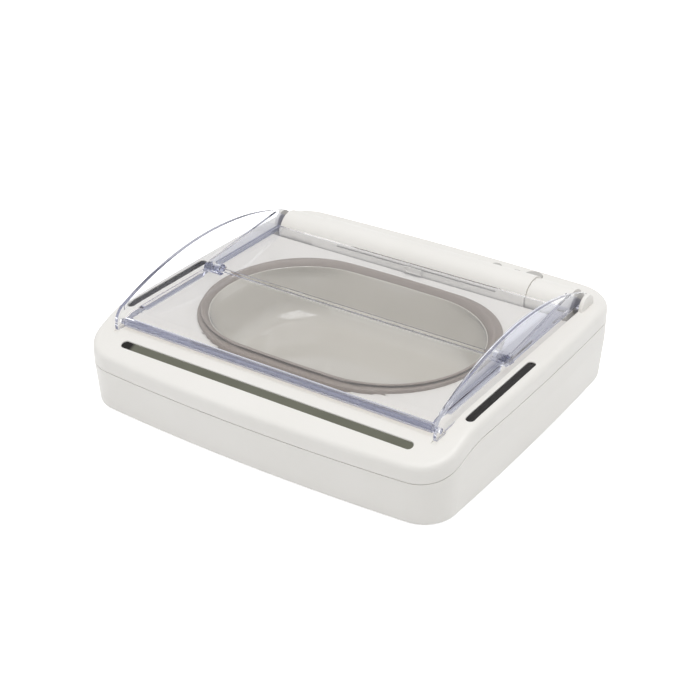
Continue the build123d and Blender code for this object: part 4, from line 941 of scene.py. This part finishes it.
@dataclass
class FoodBowl:
    """Bowl and its soft seal, modelled from section rows that run round a plan.

    Attributes:
        lip_plan: Outer edge of the seal's lip.
        foot_plan: Outer edge of the seal where it stands on the field.
        basin_plan: Outline that the basin's wall is measured in from.
        field_z: Height of the field round the bowl.
        skirt_height: Height of the seal's skirt.
        skirt_rounds: Insets of its rounded top edge, and so far below the top each is.
        lip_top_z: Height of the lip.
        lip_thickness: Thickness of the lip's overhang.
        lip_width: Width of the lip's level top.
        groove: How far the groove under the lip goes in.
        slope_power: Curve of the slope from the lip to the mouth, where 1 is straight.
        slope_steps: Rings on that slope.
        mouth_inset: Inset of the mouth from the lip's edge.
        mouth_z: Height of the seal's inner edge.
        basin_top: Inset and height where the basin's draft starts.
        basin_floor_z: Height of the floor.
        basin_draft: How far the wall leans in over its height.
        floor_radius: Fillet round the floor.
        shoulder_z: Height where the shoulder under the mouth meets the wall.
        wall: Wall of the bowl.
        wall_steps: Rings on the wall.
        fillet_steps: Rings on the fillet, less one.
        shoulder_steps: Spans on the shoulder.
    """

    lip_plan: BowedPlan = BowedPlan(half_width=84.3, half_depth=57.5, side_bow=20.0, end_bow=2.4,
                                    front_radius=56.0, rear_radius=56.0, centre_y=-8.5)
    foot_plan: BowedPlan = BowedPlan(half_width=84.7, half_depth=60.2, side_bow=2.0, end_bow=0.5,
                                     front_radius=57.0, rear_radius=50.0, centre_y=-8.5)
    basin_plan: BowedPlan = BowedPlan(half_width=85.0, half_depth=58.0, side_bow=4.0, end_bow=1.5,
                                      front_radius=48.0, rear_radius=48.0, centre_y=-6.5)
    field_z: float = 42.76
    skirt_height: float = 1.9
    skirt_rounds: Point2 = (0.2, 0.6)
    lip_top_z: float = 46.43
    lip_thickness: float = 0.65
    lip_width: float = 0.95
    groove: float = 1.5
    slope_power: float = 1.7
    slope_steps: int = 8
    mouth_inset: float = 3.95
    mouth_z: float = 43.1
    basin_top: Point2 = (6.4, 46.7)
    basin_floor_z: float = 13.4
    basin_draft: float = 9.0
    floor_radius: float = 13.0
    shoulder_z: float = 39.0
    wall: float = 2.4
    wall_steps: int = 5
    fillet_steps: int = 12
    shoulder_steps: int = 6

    def dress(self, frame: dict[str, Any], finishes: Finishes) -> None:
        """Give the bowl's nodes their finishes."""
        finishes.dress(frame, "bowl_plastic", "bowl")
        finishes.dress(frame, "seal_rubber", "bowl_seal")

    def build(self, finishes: Finishes) -> None:
        """Build the bowl and its seal in place of the plain ones."""
        pieces = (("feeding_bowl", "bowl", "bowl_plastic", self._bowl_rings(), False),
                  ("bowl_lid_seal", "bowl_seal", "seal_rubber", self._seal_rings(), True))
        for name, node, slot, rings, closed in pieces:
            piece = ringed_piece(name, rings, closed, finishes.built[slot])
            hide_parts(node)
            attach(piece, Body.HOUSING.value)
            LOG.info("built %s from %d rings", name, len(rings))

    def _seal_rings(self) -> list[Ring]:
        """Run round the seal's section.

        Returns:
            The rings, up the skirt, into the groove, round the lip and down into the mouth.
        """
        top, skirt_top = self.lip_top_z, self.field_z + self.skirt_height
        bottom = top - self.lip_thickness
        small, large = self.skirt_rounds
        skirt = [(0.0, self.field_z), (0.0, skirt_top - large), (small, skirt_top - small),
                 (large, skirt_top)]
        lip = [(self.groove, skirt_top + 0.05), (self.groove, bottom), (0.1, bottom),
               (0.0, bottom + 0.1), (0.0, top - 0.3), (0.12, top - 0.08), (0.35, top),
               (self.lip_width, top)]
        for step in range(1, self.slope_steps + 1):
            share = step / self.slope_steps
            lip.append((self.lip_width + (self.mouth_inset - self.lip_width) * share,
                        top - (top - self.mouth_z) * share**self.slope_power))
        lip.append((self.mouth_inset, self.field_z))
        return ([self.foot_plan.ring(*row) for row in skirt]
                + [self.lip_plan.ring(*row) for row in lip])

    def _basin_rings(self, top_inset: float, top_z: float, start_z: float,
                     floor_z: float) -> list[Ring]:
        """Run down a drafted wall and round the fillet to the floor.

        Args:
            top_inset: Inset of the wall where its draft starts.
            top_z: Height where its draft starts.
            start_z: Height of the first ring.
            floor_z: Height of the floor.

        Returns:
            The rings, from the wall to the floor.
        """
        slope = self.basin_draft / (top_z - floor_z)
        lean = math.atan(slope)
        centre_z = floor_z + self.floor_radius
        centre_inset = top_inset + slope * (top_z - centre_z) + self.floor_radius / math.cos(lean)
        tangent_z = centre_z - self.floor_radius * math.sin(lean)
        heights = [start_z + (tangent_z - start_z) * step / self.wall_steps
                   for step in range(self.wall_steps)]
        rings = [self.basin_plan.ring(top_inset + slope * (top_z - height), height)
                 for height in heights]
        for step in range(self.fillet_steps + 1):
            turn = lean + (math.pi / 2 - lean) * step / self.fillet_steps
            rings.append(self.basin_plan.ring(centre_inset - self.floor_radius * math.cos(turn),
                                              centre_z - self.floor_radius * math.sin(turn)))
        return rings

    def _bowl_rings(self) -> list[Ring]:
        """Run round the bowl's section.

        Returns:
            The rings, up the outside, over the bead at the mouth and down the inside.
        """
        outside = self._basin_rings(
            top_inset=self.basin_top[0] - self.wall + 0.2, top_z=self.field_z,
            start_z=self.field_z - 0.5, floor_z=self.basin_floor_z - self.wall + 0.1)
        inside = self._basin_rings(*self.basin_top, self.shoulder_z, self.basin_floor_z)
        edge, rim = self.mouth_inset, self.mouth_z
        bead = [self.lip_plan.ring(inset, height) for inset, height in (
            (edge + 0.05, self.field_z + 0.1), (edge + 0.05, rim + 0.15), (edge + 0.2, rim + 0.3),
            (edge + 0.5, rim + 0.3), (edge + 0.7, rim + 0.1))]
        shoulder = [[first.lerp(second, step / self.shoulder_steps)
                     for first, second in zip(bead[-1], inside[0])]
                    for step in range(1, self.shoulder_steps)]
        return list(reversed(outside)) + bead + shoulder + inside


@dataclass
class FoldingLid:
    """Clear panels, arms and the two rods they turn on."""

    clear: tuple[str, ...] = ("front_lid_panel", "rear_lid_panel", "right_lid_arm", "left_lid_arm")

    def dress(self, frame: dict[str, Any], finishes: Finishes) -> None:
        """Give the lid's nodes their finishes."""
        finishes.dress(frame, "clear_plastic", *self.clear)
        finishes.dress(frame, "clear_plastic", "front_rod", "mid_hinge_pins")


@dataclass
class DriveTube:
    """Tube, caps, cover, catch, shaft and gear train."""

    def dress(self, frame: dict[str, Any], finishes: Finishes) -> None:
        """Give the drive's nodes their finishes."""
        finishes.dress(frame, "white_plastic", "drive_tube", "right_end_cap", "left_end_cap",
                       "tube_cover", "lid_catch")
        finishes.dress(frame, "nylon", "shaft_bushes", "shaft_gear", "idler_gear")
        finishes.dress(frame, "white_plastic", "motor_bracket")
        finishes.dress(frame, "steel", "drive_shaft", "idler_axle", "motor_pinion")
        finishes.dress(frame, "nickel", "gear_motor")


@dataclass
class Controls:
    """Buttons, status light, board and the symbols printed beside them."""

    deck_z: float = 47.5
    row_y: float = 92.4
    battery_x: float = 6.7
    lid_x: float = 25.5
    cycle_x: float = 50.8
    ink: float = 0.45

    def dress(self, frame: dict[str, Any], finishes: Finishes) -> None:
        """Give the control nodes their finishes."""
        finishes.dress(frame, "button_plastic", "large_button", "small_button")
        finishes.dress(frame, "silicone", "large_button_dome", "small_button_dome")
        finishes.dress(frame, "circuit_board", "control_board")
        finishes.dress(frame, "window_plastic", "button_switches")
        finishes.dress(frame, "clear_light", "status_light")

    def build(self, finishes: Finishes) -> None:
        """Print the battery, lid and training symbols.

        Args:
            finishes: The built finishes, for the ink.
        """
        battery = PrintedMark("battery_mark", (self.battery_x, self.row_y), self.deck_z, lines=[
            ([(-2.2, -1.2), (2.2, -1.2), (2.2, 1.2), (-2.2, 1.2)], self.ink, True),
            ([(2.6, -0.5), (2.6, 0.5)], self.ink, False)])
        lid = PrintedMark("open_lid_mark", (self.lid_x, self.row_y), self.deck_z, lines=[
            (arc_points((0, -0.8), (2.6, 2.2), 20, 160, 12), self.ink, False),
            ([(-2.8, -1.2), (2.8, -1.2)], self.ink, False)])
        cycle = PrintedMark("training_mark", (self.cycle_x, self.row_y), self.deck_z, lines=[
            (arc_points((0, 0), (2.0, 2.0), 20, 150, 10), self.ink, False),
            (arc_points((0, 0), (2.0, 2.0), 200, 330, 10), self.ink, False)],
            solids=[[(-2.5, 0.9), (-1.0, 1.1), (-1.9, 2.3)],
                    [(2.5, -0.9), (1.0, -1.1), (1.9, -2.3)]])
        for mark in (battery, lid, cycle):
            piece = mark.build(finishes.built["button_plastic"])
            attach(piece, Body.HOUSING.value)


@dataclass
class Batteries:
    """Cells, contacts and the two doors."""

    def dress(self, frame: dict[str, Any], finishes: Finishes) -> None:
        """Give the battery nodes their finishes."""
        finishes.dress(frame, "cell_jacket", "battery_cells")
        finishes.dress(frame, "nickel", "battery_contacts")
        finishes.dress(frame, "white_plastic", "left_battery_door", "right_battery_door")


@dataclass
class Feeder:
    """The whole sealed feeder."""

    housing: Housing = field(default_factory=Housing)
    bowl: FoodBowl = field(default_factory=FoodBowl)
    lid: FoldingLid = field(default_factory=FoldingLid)
    drive: DriveTube = field(default_factory=DriveTube)
    controls: Controls = field(default_factory=Controls)
    batteries: Batteries = field(default_factory=Batteries)

    def build(self, frame: dict[str, Any], finishes: Finishes) -> None:
        """Dress every node and build the added pieces.

        Args:
            finishes: The built finishes.
        """
        for assembly in (self.housing, self.bowl, self.lid, self.drive, self.controls,
                         self.batteries):
            assembly.dress(frame, finishes)
        self.bowl.build(finishes)
        self.controls.build(finishes)


def main() -> None:
    """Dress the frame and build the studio."""
    logging.basicConfig(level=logging.INFO)
    bpy.context.scene.view_settings.view_transform = "Standard"
    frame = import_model()
    Feeder().build(frame, Finishes.build())
    Studio().build()
    ProductCamera().build()


if __name__ == "__main__":
    main()
